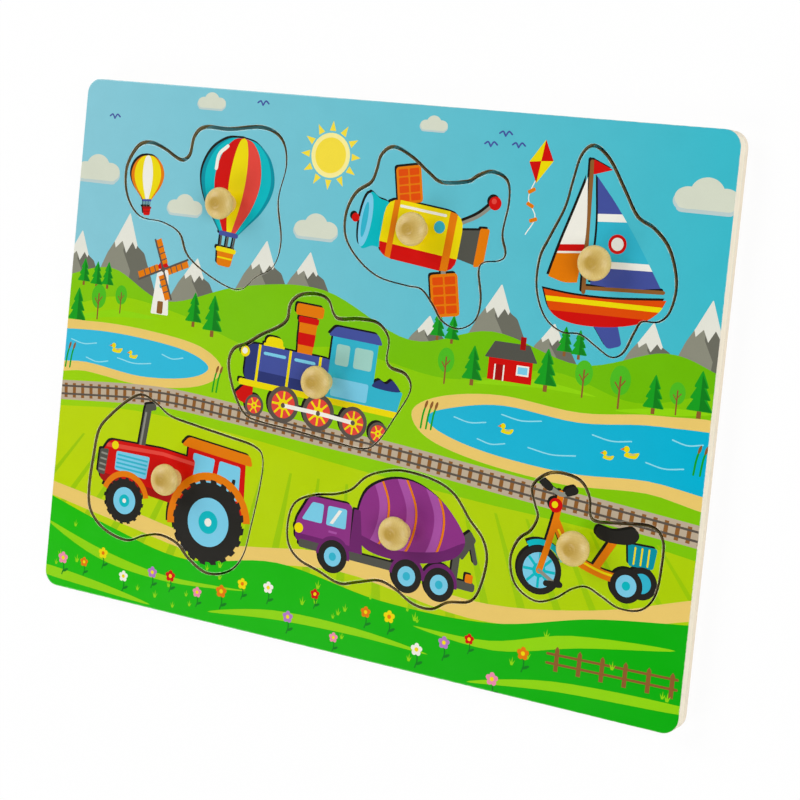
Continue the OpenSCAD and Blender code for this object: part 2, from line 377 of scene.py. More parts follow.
# %% Inks
INKS = dict(
    cloud="#D3D8C5", cloud_shade="#B9CCCA", sun="#F2DA3C", sun_ring="#F6EA96", rock="#8A8A7A",
    rock_dark="#6A6A5E", snow="#E2E2D6", sand="#E8C66B", ripple="#8ED8E6", red="#CC0A04",
    red_pale="#E0453A", red_dark="#A00A08", teal="#00B4BC", teal_dark="#008C9C", yellow="#EAD600",
    orange="#E07800", flame="#DC4A00", navy="#424F98", navy_dark="#2C3670", blue="#30B0C8",
    pale_blue="#78C8E2", aqua="#9CCCC0", purple="#8A3080", purple_dark="#6A2266", violet="#A650A0",
    white="#EDEBE0", shadow="#16150F", tyre="#24221E", steel="#8C8C80", steel_dark="#505048",
    wood="#8A5A2A", fir="#169C1E", fir_dark="#0E7C1A", leaf="#4CB81E", pink="#E88AA8",
    lilac="#B078C0", gravel="#B9A890", rail="#5A5148", stripe="#8ED208", row="#98C400",
)
RUNNING_INKS = dict(
    sky=("#86C6D4", "#3AB8C8", (-150, 0), (150, 30)),
    hill_back=("#80C406", "#6AB800", (-150, 30), (150, 0)),
    hill=("#98CE00", "#7CC200", (-150, 10), (150, -10)),
    water=("#34B8D8", "#00AECE", (-150, 0), (150, 0)),
    field=("#B8D200", "#AACB00", (-150, -40), (150, -90)),
    grass=("#1CBA04", "#02AA04", (-150, -80), (150, -110)),
)


def linear(tone):
    """Written tone to linear light: a share of the value for the darkest tones, and otherwise the
    value plus 0.055, over 1.055, to the power 2.4."""
    value = np.array([int(tone[k : k + 2], 16) for k in (1, 3, 5)]) / 255
    return np.where(value < 0.04045, value / 12.92, ((value + 0.055) / 1.055) ** 2.4)


INK_ROWS = {name: (tone, tone, (0, 0), (1, 0)) for name, tone in INKS.items()} | RUNNING_INKS
INK_NAMES = list(INK_ROWS)
INK_START, INK_END = (np.array([linear(row[k]) for row in INK_ROWS.values()]) for k in (0, 1))
RUN_START, RUN_END = (np.array([row[k] for row in INK_ROWS.values()], float) for k in (2, 3))


def ink_colours(number, points):
    """Colour of each point in its ink: the start tone, plus the difference to the end tone times
    how far along the ink's run the point is."""
    run = RUN_END[number] - RUN_START[number]
    share = ((points - RUN_START[number]) * run).sum(-1) / (run * run).sum(-1)
    share = np.clip(share, 0, 1)[..., None]
    return INK_START[number] + (INK_END[number] - INK_START[number]) * share


print(len(INKS), "flat inks and", len(RUNNING_INKS), "that run from one tone to another")

# %% [markdown]
# ## The picture: seven figures
# Each loose piece carries one figure, drawn about the middle of its piece so that it fills the
# cut outline and leaves room for the knob. All are made of a few plain areas, as such prints
# are, so that a child knows them at once. The thick dark line on their upper left comes from
# `shaded`.

# %% Balloons and clouds
FIGURE_DRAWINGS = {}


def keep_figure(draw):
    """Draws a figure and keeps it under the name of its piece."""
    FIGURE_DRAWINGS[draw.__name__] = draw()
    print(draw.__name__, "has", len(FIGURE_DRAWINGS[draw.__name__]), "areas")


def cloud(x, y, w):
    """Three round heaps on a flat foot, over a shaded copy that is a little lower."""
    u = w / 10
    low = ink("cloud_shade", oval(x - 2.6 * u, y - 0.4 * u, 4.4 * u, 3.0 * u),
              oval(x + 2.7 * u, y - 0.3 * u, 4.6 * u, 3.2 * u),
              block(x, y - 0.9 * u, 8.6 * u, 2.1 * u, r=0.95 * u))
    return low + ink("cloud", oval(x - 2.5 * u, y + 0.1 * u, 4.2 * u, 3.1 * u),
                     oval(x + 0.1 * u, y + 0.9 * u, 5.0 * u, 4.4 * u),
                     oval(x + 2.8 * u, y + 0.2 * u, 4.2 * u, 3.2 * u),
                     block(x, y - 0.4 * u, 8.4 * u, 2.0 * u, r=0.95 * u))


def envelope(size, inks):
    """Upright stripes of a balloon. The half width follows one smooth line from the crown to the
    mouth, and the stripes' borders are shares of it, the sines of evenly spaced angles."""
    half = path((0.02, 1), (0.42, 0.93), (0.8, 0.64), (1.0, 0.2), (0.98, -0.2), (0.78, -0.62),
                (0.48, -0.98), (0.24, -1.26)) * size
    edges = np.sin(np.linspace(-np.pi / 2, np.pi / 2, len(inks) + 1))
    stripes = []
    for left, right, name in zip(edges[:-1], edges[1:], inks):
        stripes += ink(name, np.vstack([half * (left, 1), (half * (right, 1))[::-1]]))
    return stripes


def balloon(s, stripes, trims):
    """A balloon of half width s with three ropes, a basket and a collar at its mouth."""
    ropes = ink("rail", *(band(0.05 * s, (k * 0.2 * s, -1.12 * s), (k * 0.17 * s, -1.64 * s))
                          for k in (-1, 0, 1)))
    basket = ink(trims[0], shape((-0.24 * s, -1.62 * s), (-0.19 * s, -2.0 * s), (0.19 * s, -2.0 * s),
                                 (0.24 * s, -1.62 * s), r=0.07 * s))
    trim = ink(trims[1], block(0, -1.62 * s, 0.56 * s, 0.11 * s, r=0.05 * s),
               band(0.04 * s, (-0.19 * s, -1.81 * s), (0.19 * s, -1.81 * s)))
    return (ropes + basket + trim + envelope(s, stripes)
            + ink(trims[2], block(0, -1.25 * s, 0.54 * s, 0.11 * s, r=0.05 * s)))


def balloons():
    """A large balloon on the right, a small one on the left and a cloud between them."""
    small = balloon(8.6, ("orange", "yellow", "white", "yellow", "orange"), ("red", "red_dark", "navy"))
    large = balloon(18.2, ("teal_dark", "teal", "red", "yellow", "red_pale", "teal", "teal_dark"),
                    ("orange", "yellow", "navy"))
    large += ink("white", band(1.6, (-11.6, 3.5), (-11.2, 9.5), (-7.6, 13.6)))
    return (shaded(placed(small, -29.6, 9.6, 4)) + cloud(-9, -2.5, 19)
            + shaded(placed(large, 16.8, 11.2, -5)))


keep_figure(balloons)

# %% Satellite
def solar_wing(w, h):
    """A framed wing with two rows of four cells, on a short arm."""
    cells = [block((i - 0.5) * w * 0.44, (j - 1.5) * h * 0.225, w * 0.38, h * 0.185, r=0.5)
             for i in range(2) for j in range(4)]
    return (ink("steel", block(0, -h / 2 - 2, 2.2, 6)) + ink("orange", block(0, 0, w, h, r=1.6))
            + ink("flame", *cells))


def satellite():
    """A yellow drum with two wings, a dish on the left, a nozzle on the right and an aerial."""
    d = placed(solar_wing(11.4, 15), -10.6, 19.2, 16) + placed(solar_wing(12.4, 17), 14.2, -20.4, 196)
    d += ink("steel", band(1.4, (14, 8), (22, 13), (27.5, 18.6))) + ink("red", oval(28.2, 19.4, 5.4))
    d += ink("red_pale", oval(27.6, 20.1, 2.2))
    d += ink("steel_dark", shape((15, -5), (25, -6.2), (25, 8), (15, 6), r=0.8))
    d += ink("orange", shape((24, -7), (28.2, -5.6), (28.2, 9.2), (24, 8.6), r=1.0))
    d += ink("steel", band(1.5, (-20, 1.5), (-32.2, 1.5))) + ink("red", oval(-32.2, 1.5, 3.6))
    d += ink("teal", loop((-17, -6.2), (-22.5, -8.2), (-27.4, -9.6), (-27.8, 1.5), (-27.4, 12.6),
                          (-22.5, 11.2), (-17, 8.8)))
    d += ink("pale_blue", oval(-27.4, 1.5, 5.6, 22)) + ink("blue", oval(-27.8, 1.5, 2.6, 14.5))
    d += filled("yellow", block(-1.5, 0.5, 36, 24, r=7), ink("red", block(-1.5, -9.5, 40, 8)),
                ink("orange", block(11.5, 0, 3.4, 30), block(-14.5, 0, 2.6, 30)))
    d += ink("blue", oval(-8.4, 5.4, 5.6), oval(6.2, 5.4, 5.0))
    d += ink("white", band(1.1, (-12.4, 10.2), (8, 10.4)))
    return shaded(placed(d, turn=-6))


keep_figure(satellite)

# %% Yacht
def yacht():
    """Two sails on a mast, over a deep hull with a keel."""
    d = ink("navy", shape((-4.6, -26), (3.6, -36.4), (9.4, -34.4), (6.6, -26), r=1.6))
    d += ink("wood", band(1.7, (-8.4, -16), (-10.2, 33.4)))
    d += ink("red", shape((-9.6, 34.4), (-9.2, 28.6), (-1.4, 31), r=0.5))
    main = np.vstack([path((-7.4, 28), (2.0, 17.4), (12.4, 3.6), (22.4, -11.2)),
                      path((22.4, -11.2), (8, -13.2), (-6.0, -12.8))[1:],
                      path((-6.0, -12.8), (-5.4, 8), (-7.4, 28))[1:-1]])
    d += filled("blue", main,
                ink("navy", shape((-12, 30), (-12, 12.5), (14, 14), (14, 30)),
                    shape((-12, -6.6), (-12, -16), (26, -16), (26, -5))),
                ink("white", shape((-12, 13.6), (-12, 10.6), (16, 12.6), (16, 15.6)),
                    shape((-12, -4), (-12, -6.6), (26, -5), (26, -2.4))))
    jib = np.vstack([path((-11.4, 27.6), (-15.4, 15), (-20, 1), (-23.6, -11.6)),
                     path((-23.6, -11.6), (-17, -13.2), (-11.4, -12.8))[1:],
                     path((-11.4, -12.8), (-9.8, 6), (-11.4, 27.6))[1:-1]])
    d += filled("white", jib, ink("orange", shape((-26, -3), (-26, -16), (-6, -16), (-6, -1))),
                ink("red", shape((-26, 0.4), (-26, -2.2), (-6, -0.2), (-6, 2.4))))
    d += discs(3.4, 3.4, ("red", 7.4), ("white", 5.0))
    hull = np.vstack([path((-25, -16.6), (-12, -17.6), (4, -17.4), (25.2, -15.4)),
                      path((25.2, -15.4), (22.4, -20.4), (15, -25.4), (2, -28.2), (-12, -28.4),
                           (-20.8, -25.2), (-25, -16.6))[1:-1]])
    d += filled("flame", hull, ink("yellow", shape((-30, -19.2), (-30, -21.2), (30, -20), (30, -18))),
                ink("red", shape((-30, -24.6), (-30, -32), (30, -32), (30, -23.2))))
    return shaded(d + ink("wood", band(1.5, (-8, -14.4), (23.6, -12.6))))


keep_figure(yacht)

# %% Locomotive
def spoked(x, y, r, spokes):
    """A wheel with a dark tyre, a pale disc and straight spokes through its hub."""
    bars = [block(x, y, 1.44 * r, 0.12 * r, turn=180 * k / spokes) for k in range(spokes)]
    return (discs(x, y, ("rail", 2 * r), ("red_pale", 1.5 * r)) + ink("yellow", *bars)
            + discs(x, y, ("yellow", 0.6 * r), ("red_pale", 0.22 * r)))


def locomotive():
    """A steam locomotive with its tender, facing left."""
    d = ink("red", shape((-38.6, -17.6), (-36.2, -20.4), (-30, -21.6), (-30, -10.6), (-32, -10.6),
                         r=0.8))
    d += ink("orange", shape((-10.8, 2), (-4.0, 2), (-3.0, 17.6), (-11.8, 17.6)),
             block(-7.4, 22.4, 13.4, 4.8, r=1.4))
    d += ink("red", shape((-11.3, 8), (-3.5, 8), (-3.2, 13), (-11.6, 13)),
             block(-7.4, 18.4, 9.8, 2.6, r=0.8))
    d += ink("yellow", block(-22.4, 5.6, 8.6, 6.4, r=2.8), block(-22.4, 4.6, 10.4, 2.4, r=0.8))
    d += filled("navy", block(-14, -3.6, 43, 16.4, r=4.6),
                ink("navy_dark", block(-14, -9.6, 60, 6.4), block(-33.2, -3.6, 6.0, 30)),
                ink("yellow", *(block(x, -3.6, 1.3, 30) for x in (-29.2, -14.0, 0.6))))
    d += ink("pale_blue", band(1.3, (-26.4, 1.4), (-16.6, 1.4)), band(1.3, (-11.2, 1.4), (-2.2, 1.4)))
    d += ink("yellow", oval(-36.2, 0.6, 4.6)) + ink("white", oval(-36.4, 0.8, 2.6))
    d += ink("blue", shape((5, -12.4), (26.6, -12.4), (26.6, 15), (5, 15), r=0.8),
             shape((25.6, -12.4), (38.6, -12.4), (40.4, -2.6), (25.6, -2.6), r=1.0))
    d += ink("navy_dark", loop((26.4, -2.8), (38.6, -2.8), (35.2, 1.2), (32.4, -0.6), (29, 0.4)))
    d += ink("navy", shape((2.6, 14.2), (28.6, 14.2), (26, 18.4), (6, 18.4), r=1.5))
    d += ink("aqua", block(10.6, 7.2, 6.4, 8.6, r=1.2), block(20.4, 7.2, 8.6, 8.6, r=1.2))
    d += ink("pale_blue", block(15.8, -6.2, 17.4, 7.6, r=1.0))
    d += ink("yellow", block(1.2, -12.2, 77.6, 2.6, r=1.0))
    for x, r in ((-28.4, 4.6), (-14.4, 7.6), (2.8, 7.6), (19.6, 6.6), (31.8, 4.6)):
        d += spoked(x, r - 25.6, r, 4 if r > 5 else 3)
    d += ink("white", band(1.7, (-14.4, -18.4), (2.8, -18.4), (19.6, -19.0)))
    d += ink("rail", oval(-14.4, -18.4, 2.0), oval(2.8, -18.4, 2.0), oval(19.6, -19, 2.0))
    return shaded(placed(d, turn=-2.6))


keep_figure(locomotive)

# %% Tractor
def lugged(x, y, r, lugs):
    """A tyre with slanting lugs, a pale rim and a hub."""
    lug = shape((x + 0.9 * r, y - 0.09 * r), (x + 1.04 * r, y - 0.02 * r),
                (x + 1.04 * r, y + 0.14 * r), (x + 0.9 * r, y + 0.12 * r))
    d = ink("tyre", *(turned(lug, 360 * k / lugs, (x, y)) for k in range(lugs)),
            oval(x, y, 1.94 * r, sides=56))
    return d + discs(x, y, ("pale_blue", 1.2 * r), ("teal", 0.56 * r), ("white", 0.2 * r))


def tractor():
    """A farm tractor with a closed cab, facing left."""
    d = ink("steel_dark", block(-19.6, 17, 3.6, 22, r=0.8),
            turned(block(-18.4, 28.6, 5.6, 3.0, r=1.0), 18, (-18.4, 28.6)))
    d += ink("steel", block(-20.4, 17, 1.0, 18))
    d += ink("red", shape((6, -6), (37.6, -6), (34, 17.6), (4.4, 17.6), r=1.2))
    d += ink("pale_blue", shape((8.6, 1), (18.6, 1), (18.6, 15.4), (7.4, 15.4), r=1.0),
             shape((21, 1), (33.6, 1), (31.8, 15.4), (21, 15.4), r=1.0))
    d += ink("tyre", band(1.2, (9.6, 3.4), (13.8, 7.6)),
             shape((24, 1.6), (30.2, 1.6), (30.6, 9.6), (29, 9.6), (28, 3.6), (24, 3.6), r=0.5))
    d += ink("orange", shape((0.6, 17.0), (37.6, 17.0), (35.6, 21.4), (3.6, 21.4), r=1.6))
    bonnet = shape((-38.6, -9), (9, -9), (9, 12.8), (-8, 12.8), (-36.6, 9.6), (-39.6, 4), r=2.4)
    d += filled("red", bonnet, ink("red_dark", block(-14, -8, 60, 5)),
                ink("red_pale",
                    shape((-38, 6.0), (-8, 9.8), (9, 9.8), (9, 11.4), (-8, 11.4), (-38, 8.0))))
    d += ink("steel_dark", shape((-40.4, -6.4), (-36.4, -6.4), (-36.4, 5.4), (-41, 4.4), r=1.0))
    d += ink("steel", *(band(0.8, (-39.8, y), (-37, y)) for y in (-4.4, -2.0, 0.4, 2.8)))
    d += ink("pale_blue", shape((-31.6, -2.6), (-14.4, -2.6), (-14.4, 7.4), (-32.2, 5.6), r=1.0))
    d += ink("blue", *(band(0.8, (-31, y), (-15.4, y + 0.9)) for y in (-1.2, 0.6, 2.4, 4.2)))
    d += ink("yellow", oval(-33.4, 7.8, 3.6))
    d += ink("orange", arch(20.8, -11.6, 17.6, 21.2, 14, 196), arch(-23.6, -14.6, 10.4, 13.0, 20, 165))
    return shaded(placed(d + lugged(20.8, -11.6, 17.4, 20) + lugged(-23.6, -14.6, 9.8, 16), turn=-6))


keep_figure(tractor)

# %% Mixer lorry
def mixer():
    """A lorry with a turning drum and a chute at its rear, facing left."""
    d = ink("steel_dark", shape((30, 2), (35.6, -3), (40.6, 6), (37.6, 9.4), r=1.0),
            band(2.0, (38.6, 5.0), (41.4, -2.6)), block(33, -6, 3.0, 10))
    drum = loop((-13.6, 4), (-12, -5), (-4, -9.2), (14, -9), (29.6, -4.4), (35.4, 1.4), (34.4, 7.8),
                (24.6, 17.4), (12, 22.8), (0, 22.2), (-10.6, 15.4))
    turns = (-6, 6.6, 19.2)
    d += filled("purple", drum,
                ink("violet", *(band(3.6, (x - 4, 26), (x + 3.4, 12), (x + 2.4, -2), (x - 4.6, -14))
                                for x in turns)),
                ink("orange", *(band(1.0, (x - 1.4, 26), (x + 6, 12), (x + 5, -2), (x - 2, -14))
                                for x in turns)),
                ink("purple_dark",
                    loop((-16, -3), (-16, -14), (38, -14), (38, 4), (24, -2.2), (4, -5.6))))
    d += ink("purple_dark", shape((-15.4, -11), (-9, -11), (-12.4, 6.6), (-15.4, 6.6), r=0.6))
    cab = shape((-41.4, -12), (-15.2, -12), (-16.4, 8.2), (-36.6, 7.6), (-42, -3.4), r=2.4)
    d += filled("purple", cab, ink("purple_dark", block(-28, -11, 40, 4.6)))
    d += ink("pale_blue", shape((-39.4, -2.6), (-29.6, -2.6), (-29.6, 5.4), (-35.2, 5.4), r=1.0),
             shape((-27.6, -2.6), (-18.2, -2.6), (-18.6, 5.6), (-27.6, 5.4), r=1.0))
    d += ink("white", shape((-26, -1.6), (-24.4, -1.6), (-20.8, 4.6), (-22.4, 4.6)))
    d += ink("yellow", oval(-40.2, -6.6, 4.2)) + ink("violet", band(0.9, (-25.6, -5), (-22.4, -5)))
    d += ink("steel_dark", block(1.6, -12.6, 82, 3.4, r=1.4))
    d += ink("orange", block(39.6, -9.4, 3.4, 3.4, r=0.8))
    for x in (-22.6, 12.2, 27.0):
        d += ink("purple_dark", arc(x, -14.4, 8.0, -4, 184))
        d += discs(x, -14.8, ("tyre", 13.6), ("pale_blue", 8.0), ("blue", 3.4))
    return shaded(placed(d, turn=-2.4))


keep_figure(mixer)

# %% Tricycle
def tricycle():
    """A child's tricycle with a basket behind the seat, facing left."""
    d = ink("teal_dark", shape((17.6, -4.6), (27.6, -4.6), (28.6, 3.6), (16.6, 3.6), r=1.2))
    d += ink("yellow", *(band(0.7, (x, -3.6), (x + 0.2, 2.6)) for x in (19.6, 22.4, 25.2)))
    d += discs(23.6, -10.4, ("tyre", 12.4), ("blue", 7.6))
    d += ink("orange", band(3.6, (-13.4, 6.6), (-6, -4.6), (6, -9.4), (18.4, -10.8)),
             band(3.0, (4.4, -8.4), (11, 3.4)))
    d += ink("yellow", band(0.9, (-12, 3.6), (-6, -4.2), (5.4, -8.6), (15, -10)))
    d += ink("tyre", loop((3.4, 4.4), (8, 2.6), (17.4, 3.2), (20.8, 6.4), (18.6, 9.4), (11, 7.4),
                          (4.4, 8.0)))
    d += discs(17.6, -12.4, ("tyre", 13.2), ("pale_blue", 8.4), ("teal", 3.4))
    x, y = -18.4, -13.2
    bars = [block(x, y, 13.5, 1.1, turn=45 * k) for k in range(4)]
    d += discs(x, y, ("tyre", 18.8), ("pale_blue", 13.8))
    d += ink("teal", *bars, oval(x, y, 5.6)) + ink("white", oval(x, y, 2.0))
    d += ink("teal", arch(x, y, 9.8, 12.0, 28, 122))
    d += ink("orange", band(2.6, (x, y), (-15.6, -2), (-13.2, 10), (-12.6, 17.6)))
    d += ink("steel", band(1.4, (x, y), (-12.2, -16.6)))
    d += ink("tyre", band(2.4, (-15.0, -17.6), (-9.2, -17.2)))
    d += ink("steel", band(1.8, (-19.4, 20.4), (-12.8, 17.4), (-8.6, 18.6)))
    d += ink("tyre", band(3.2, (-19.8, 20.6), (-17.6, 19.4)), band(3.2, (-9.4, 18.6), (-7.0, 19.6)))
    return shaded(d + ink("red", oval(-14.2, 12.8, 5.6)) + ink("yellow", oval(-14.6, 13.0, 2.6)))


keep_figure(tricycle)

# %% [markdown]
# ## The picture: the country behind the figures
# One landscape runs over the whole tray and on over the loose pieces, which are cut out of the
# same sheet. It is built from the back to the front, as stage scenery is: sky, mountains, hills,
# water, a field, a meadow and a railway. Trees and flowers repeat one small drawing each. A
# seeded random generator strews the flowers and the grass, so every run prints the same picture.

# %% Sky
REACH = 154
LANDSCAPE = []


def lay(draw):
    """Lays one more part of the country over what is there."""
    LANDSCAPE.extend(draw())
    print("landscape with its", draw.__name__, "has", len(LANDSCAPE), "areas")


def sky():
    """Sun with rays, clouds, birds and a kite."""
    d = ink("sky", block(0, 20, 2 * REACH, 200))
    x, y = -23, 89
    rays = [turned(shape((x + 10, y - 1.5), (x + 14.2, y), (x + 10, y + 1.5)), 30 * k, (x, y))
            for k in range(12)]
    d += ink("sun", *rays) + discs(x, y, ("sun_ring", 18.4), ("sun", 14.6))
    for place in ((-27, 58, 22), (-141, 72, 25), (139, 86, 27), (-84, 106, 15), (23, 104.6, 13)):
        d += cloud(*place)
    for x, y in ((55, 103), (61, 99), (49, 98.5), (-58, 107), (-134, 96)):
        d += ink("navy", band(0.7, (x - 2.6, y + 0.9), (x - 1.2, y + 1.7), (x, y)),
                 band(0.7, (x, y), (x + 1.3, y + 1.8), (x + 2.8, y + 0.8)))
    d += ink("white", band(0.45, (70, 88), (67.4, 80), (71, 73), (67.6, 66)))
    d += ink("red", shape((70, 86), (76.4, 95), (72.4, 103), (66.2, 94)))
    d += ink("yellow", shape((70, 86), (76.4, 95), (71.2, 94.6)),
             shape((72.4, 103), (66.2, 94), (71.2, 94.6)))
    bows = ((68.5, 83, 30), (68.4, 77.4, -25), (70.3, 71.8, 20))
    return d + ink("orange", *(block(x, y, 3.4, 1.5, r=0.5, turn=a) for x, y, a in bows))


lay(sky)

# %% Mountains and hills
FOOT = -116


def ground(name, *line):
    """Everything below a smooth line across the tray."""
    top = path(*line, steps=8)
    return ink(name, np.vstack([top[::-1], [(line[0][0], FOOT), (line[-1][0], FOOT)]]))


def mountain(x, y, w, h):
    """A peak with a shaded right side and a cap of snow with a ragged edge."""
    outline = shape((x - w / 2, y), (x + w / 2, y), (x + 0.22 * w, y + 0.6 * h),
                    (x + 0.13 * w, y + 0.66 * h), (x, y + h), (x - 0.16 * w, y + 0.7 * h),
                    (x - 0.25 * w, y + 0.56 * h), r=0.8)
    shade = shape((x, y + h), (x - 0.05 * w, y + 0.6 * h), (x + 0.06 * w, y + 0.4 * h),
                  (x + 0.02 * w, y), (x + w / 2, y), (x + 0.3 * w, y + h))
    cap = shape((x - 0.3 * w, y + 1.1 * h), (x - 0.15 * w, y + 0.62 * h),
                (x - 0.07 * w, y + 0.7 * h), (x - 0.01 * w, y + 0.58 * h),
                (x + 0.06 * w, y + 0.7 * h), (x + 0.11 * w, y + 0.63 * h),
                (x + 0.3 * w, y + 1.1 * h))
    return filled("rock", outline, ink("rock_dark", shade), ink("snow", cap))


def fir(x, y, h):
    """Three tiers, each over the one above, on a short trunk."""
    tiers = [shape((x - k * h, y + a * h), (x + k * h, y + a * h), (x, y + b * h), r=0.06 * h)
             for k, a, b in ((0.30, 0.14, 0.62), (0.24, 0.38, 0.82), (0.17, 0.62, 1.0))]
    dark = [shape((x, y + a * h), (x + k * h, y + a * h), (x, y + b * h))
            for k, a, b in ((0.27, 0.15, 0.5), (0.21, 0.39, 0.72), (0.14, 0.63, 0.9))]
    return (ink("wood", block(x, y + 0.08 * h, 0.1 * h, 0.18 * h)) + ink("fir", *tiers)
            + ink("fir_dark", *dark))


def round_tree(x, y, h):
    """An oval crown with branches drawn over it."""
    branches = [band(0.05 * h, (x, y), (x, y + 0.74 * h)),
                band(0.035 * h, (x, y + 0.42 * h), (x - 0.13 * h, y + 0.6 * h)),
                band(0.035 * h, (x, y + 0.5 * h), (x + 0.12 * h, y + 0.66 * h))]
    return ink("leaf", oval(x, y + 0.66 * h, 0.52 * h, 0.7 * h)) + ink("wood", *branches)


def windmill(x, y):
    """A white tower with a red cap and four sails about its hub."""
    d = ink("white",
            shape((x - 4.6, y - 3), (x + 4.6, y - 3), (x + 2.8, y + 17), (x - 2.8, y + 17), r=0.6))
    d += ink("wood", block(x, y, 3, 5.4, r=0.6)) + ink("blue", oval(x, y + 9.4, 2.4))
    d += ink("red", shape((x - 4, y + 16.4), (x + 4, y + 16.4), (x, y + 21.6), r=0.8))
    sail = ink("orange", block(x + 1.7, y + 24, 3.0, 11)) + ink("rail", block(x, y + 23.2, 0.9, 14))
    sail += ink("rail", *(block(x + 1.7, y + v, 3.0, 0.5) for v in (20.4, 23.2, 26)))
    for k in range(4):
        d += [(name, turned(outline, 90 * k + 24, (x, y + 16.4)), None) for name, outline, _ in sail]
    return d + ink("rail", oval(x, y + 16.4, 2.2))


def farmhouse(x, y):
    """A red house with a dark roof, a door, a window and a chimney."""
    d = ink("red", block(x, y + 4, 19, 9))
    d += ink("steel_dark", shape((x - 11.4, y + 8), (x + 11.4, y + 8), (x + 7.6, y + 14.6),
                                 (x - 7.6, y + 14.6), r=0.7))
    d += ink("white", block(x - 4.6, y + 2.6, 4.4, 6.2), block(x + 5.4, y + 4.4, 5.4, 4.0))
    d += ink("pale_blue", block(x + 5.4, y + 4.4, 4.2, 2.8))
    return d + ink("red_dark", block(x - 4.6, y + 2.6, 3.2, 6.2), block(x + 4.6, y + 15, 2.4, 5))


def hills():
    """Mountains far off, two ranges of hills, a windmill, a farmhouse and trees."""
    d = []
    for place in ((-146, 14, 34, 32), (-121, 14, 42, 42), (-84, 14, 34, 27), (-50, 18, 40, 34),
                  (-28, 22, 34, 27), (30, 10, 30, 20), (60, 14, 36, 32), (84, 12, 30, 22),
                  (124, 12, 34, 27), (146, 12, 36, 38)):
        d += mountain(*place)
    d += ground("hill_back", (-REACH, 25), (-128, 31), (-98, 20), (-60, 31), (-20, 34), (22, 19),
                (58, 27), (96, 19), (130, 28), (REACH, 22))
    for x in (-143, -136, -130, 34, 40.5, 89, 95):
        d += fir(x, 19 + 3 * math.sin(x), 12)
    d += ground("hill", (-REACH, 10), (-124, 19), (-88, 15), (-50, 6), (-10, 12), (40, 6), (84, 15),
                (120, 8), (REACH, 17))
    d += ink("stripe", loop((-150, 6), (-126, 13), (-100, 12), (-124, 10)),
             loop((52, 6), (76, 11), (104, 8), (80, 8)),
             loop((112, 4), (134, 8), (150, 8), (132, 5)))
    d += windmill(-101, 17) + farmhouse(67, 9)
    for x, y, h in ((-145, 4, 17), (-83, 11, 15), (-73, 8, 18), (51, 5, 16), (82.5, 7, 17),
                    (127, 5, 15), (145, 6, 18)):
        d += fir(x, y, h)
    for x, y, h in ((-134, 8, 15), (-122, 12, 12), (39, 4, 14), (98, 7, 14), (113, 5, 16),
                    (136, 6, 12)):
        d += round_tree(x, y, h)
    return d


lay(hills)

# %% Water
def duck(x, y, s):
    """A duck afloat, facing left."""
    return (ink("yellow", loop((x - 1.6 * s, y), (x + 1.6 * s, y - 0.2 * s),
                               (x + 2.6 * s, y + 1.5 * s), (x + 0.6 * s, y + 1.1 * s),
                               (x - 1.2 * s, y + 1.2 * s)),
                oval(x - 1.2 * s, y + 2.1 * s, 1.8 * s, sides=20))
            + ink("orange", shape((x - 3.1 * s, y + 1.8 * s), (x - 1.9 * s, y + 1.6 * s),
                                  (x - 1.9 * s, y + 2.5 * s)))
            + ink("gravel", band(0.3 * s, (x - 0.2 * s, y + 0.7 * s), (x + 1.5 * s, y + 0.9 * s))))


def water():
    """A pond on the left and a lake on the right, with sand round them, ripples and ducks."""
    d = ink("sand", loop((-160, 3), (-136, 6.6), (-106, 6.4), (-78, 3), (-66, -5.6), (-78, -14),
                         (-106, -17.6), (-138, -15.6), (-160, -17)))
    d += ink("water", loop((-162, -1), (-136, 2.8), (-108, 2.6), (-84, 0), (-73, -5.4), (-83, -11),
                           (-108, -13.8), (-138, -11.6), (-162, -13)))
    d += ink("sand", loop((26, -9), (38, -1.4), (64, 2.8), (98, 1), (130, 4.6), (162, 3),
                          (162, -27), (128, -25), (96, -27), (60, -24.6), (34, -18.6)))
    d += ink("water", loop((33, -10), (44, -5), (66, -1), (98, -2.8), (130, 0.6), (164, -1),
                           (164, -22), (128, -20.4), (96, -22.6), (62, -20.4), (40, -15.6)))
    for x, y, w in ((-140, -3, 14), (-112, -8, 18), (-92, -3.4, 11), (-132, -10, 12), (52, -9, 14),
                    (74, -5, 17), (88, -16, 20), (112, -7, 16), (134, -14, 15), (62, -16, 12),
                    (142, -4, 12)):
        d += ink("ripple", band(0.5, (x - w / 2, y + 0.5), (x, y - 0.7), (x + w / 2, y + 0.4)))
    for place in ((-122, -5, 1.25), (-113, -6.4, 1.0), (68, -11.4, 1.2), (120, -12.6, 1.35),
                  (111, -14.6, 1.0)):
        d += duck(*place)
    for x in (-149, -146.6, -68, -70, 30.6, 33, 35.2, 148, 145.4):
        d += ink("fir", band(0.8, (x, -15), (x + 0.6, -9.4), (x + 1.8, -4.6)))
        d += ink("wood", oval(x + 1.6, -5.4, 1.2, 3.4, turn=-16, sides=16))
    return d


lay(water)

# %% Field, meadow and flowers
SEED = 7
scatter = np.random.default_rng(SEED)


def flower(x, y, s, petals):
    """Five round petals about a yellow middle, on a stem with a leaf."""
    ring = arc(x, y, 0.62 * s, 90, 378, 5)
    return (ink("fir_dark",
                band(0.22 * s, (x, y), (x + 0.3 * s, y - 1.6 * s), (x, y - 2.8 * s), steps=3),
                oval(x + 0.7 * s, y - 2.0 * s, 1.3 * s, 0.5 * s, 30, 8))
            + ink(petals, *(oval(a, b, 0.86 * s, sides=10) for a, b in ring))
            + ink("yellow" if petals != "yellow" else "orange", oval(x, y, 0.7 * s, sides=10)))


def tuft(x, y, s):
    """Three blades of grass."""
    return ink("stripe", *(shape((x - 0.3 * s, y), (x + 0.3 * s, y),
                                 (x + k * s, y + 2.4 * s - abs(k) * s)) for k in (-0.8, 0.1, 0.9)))


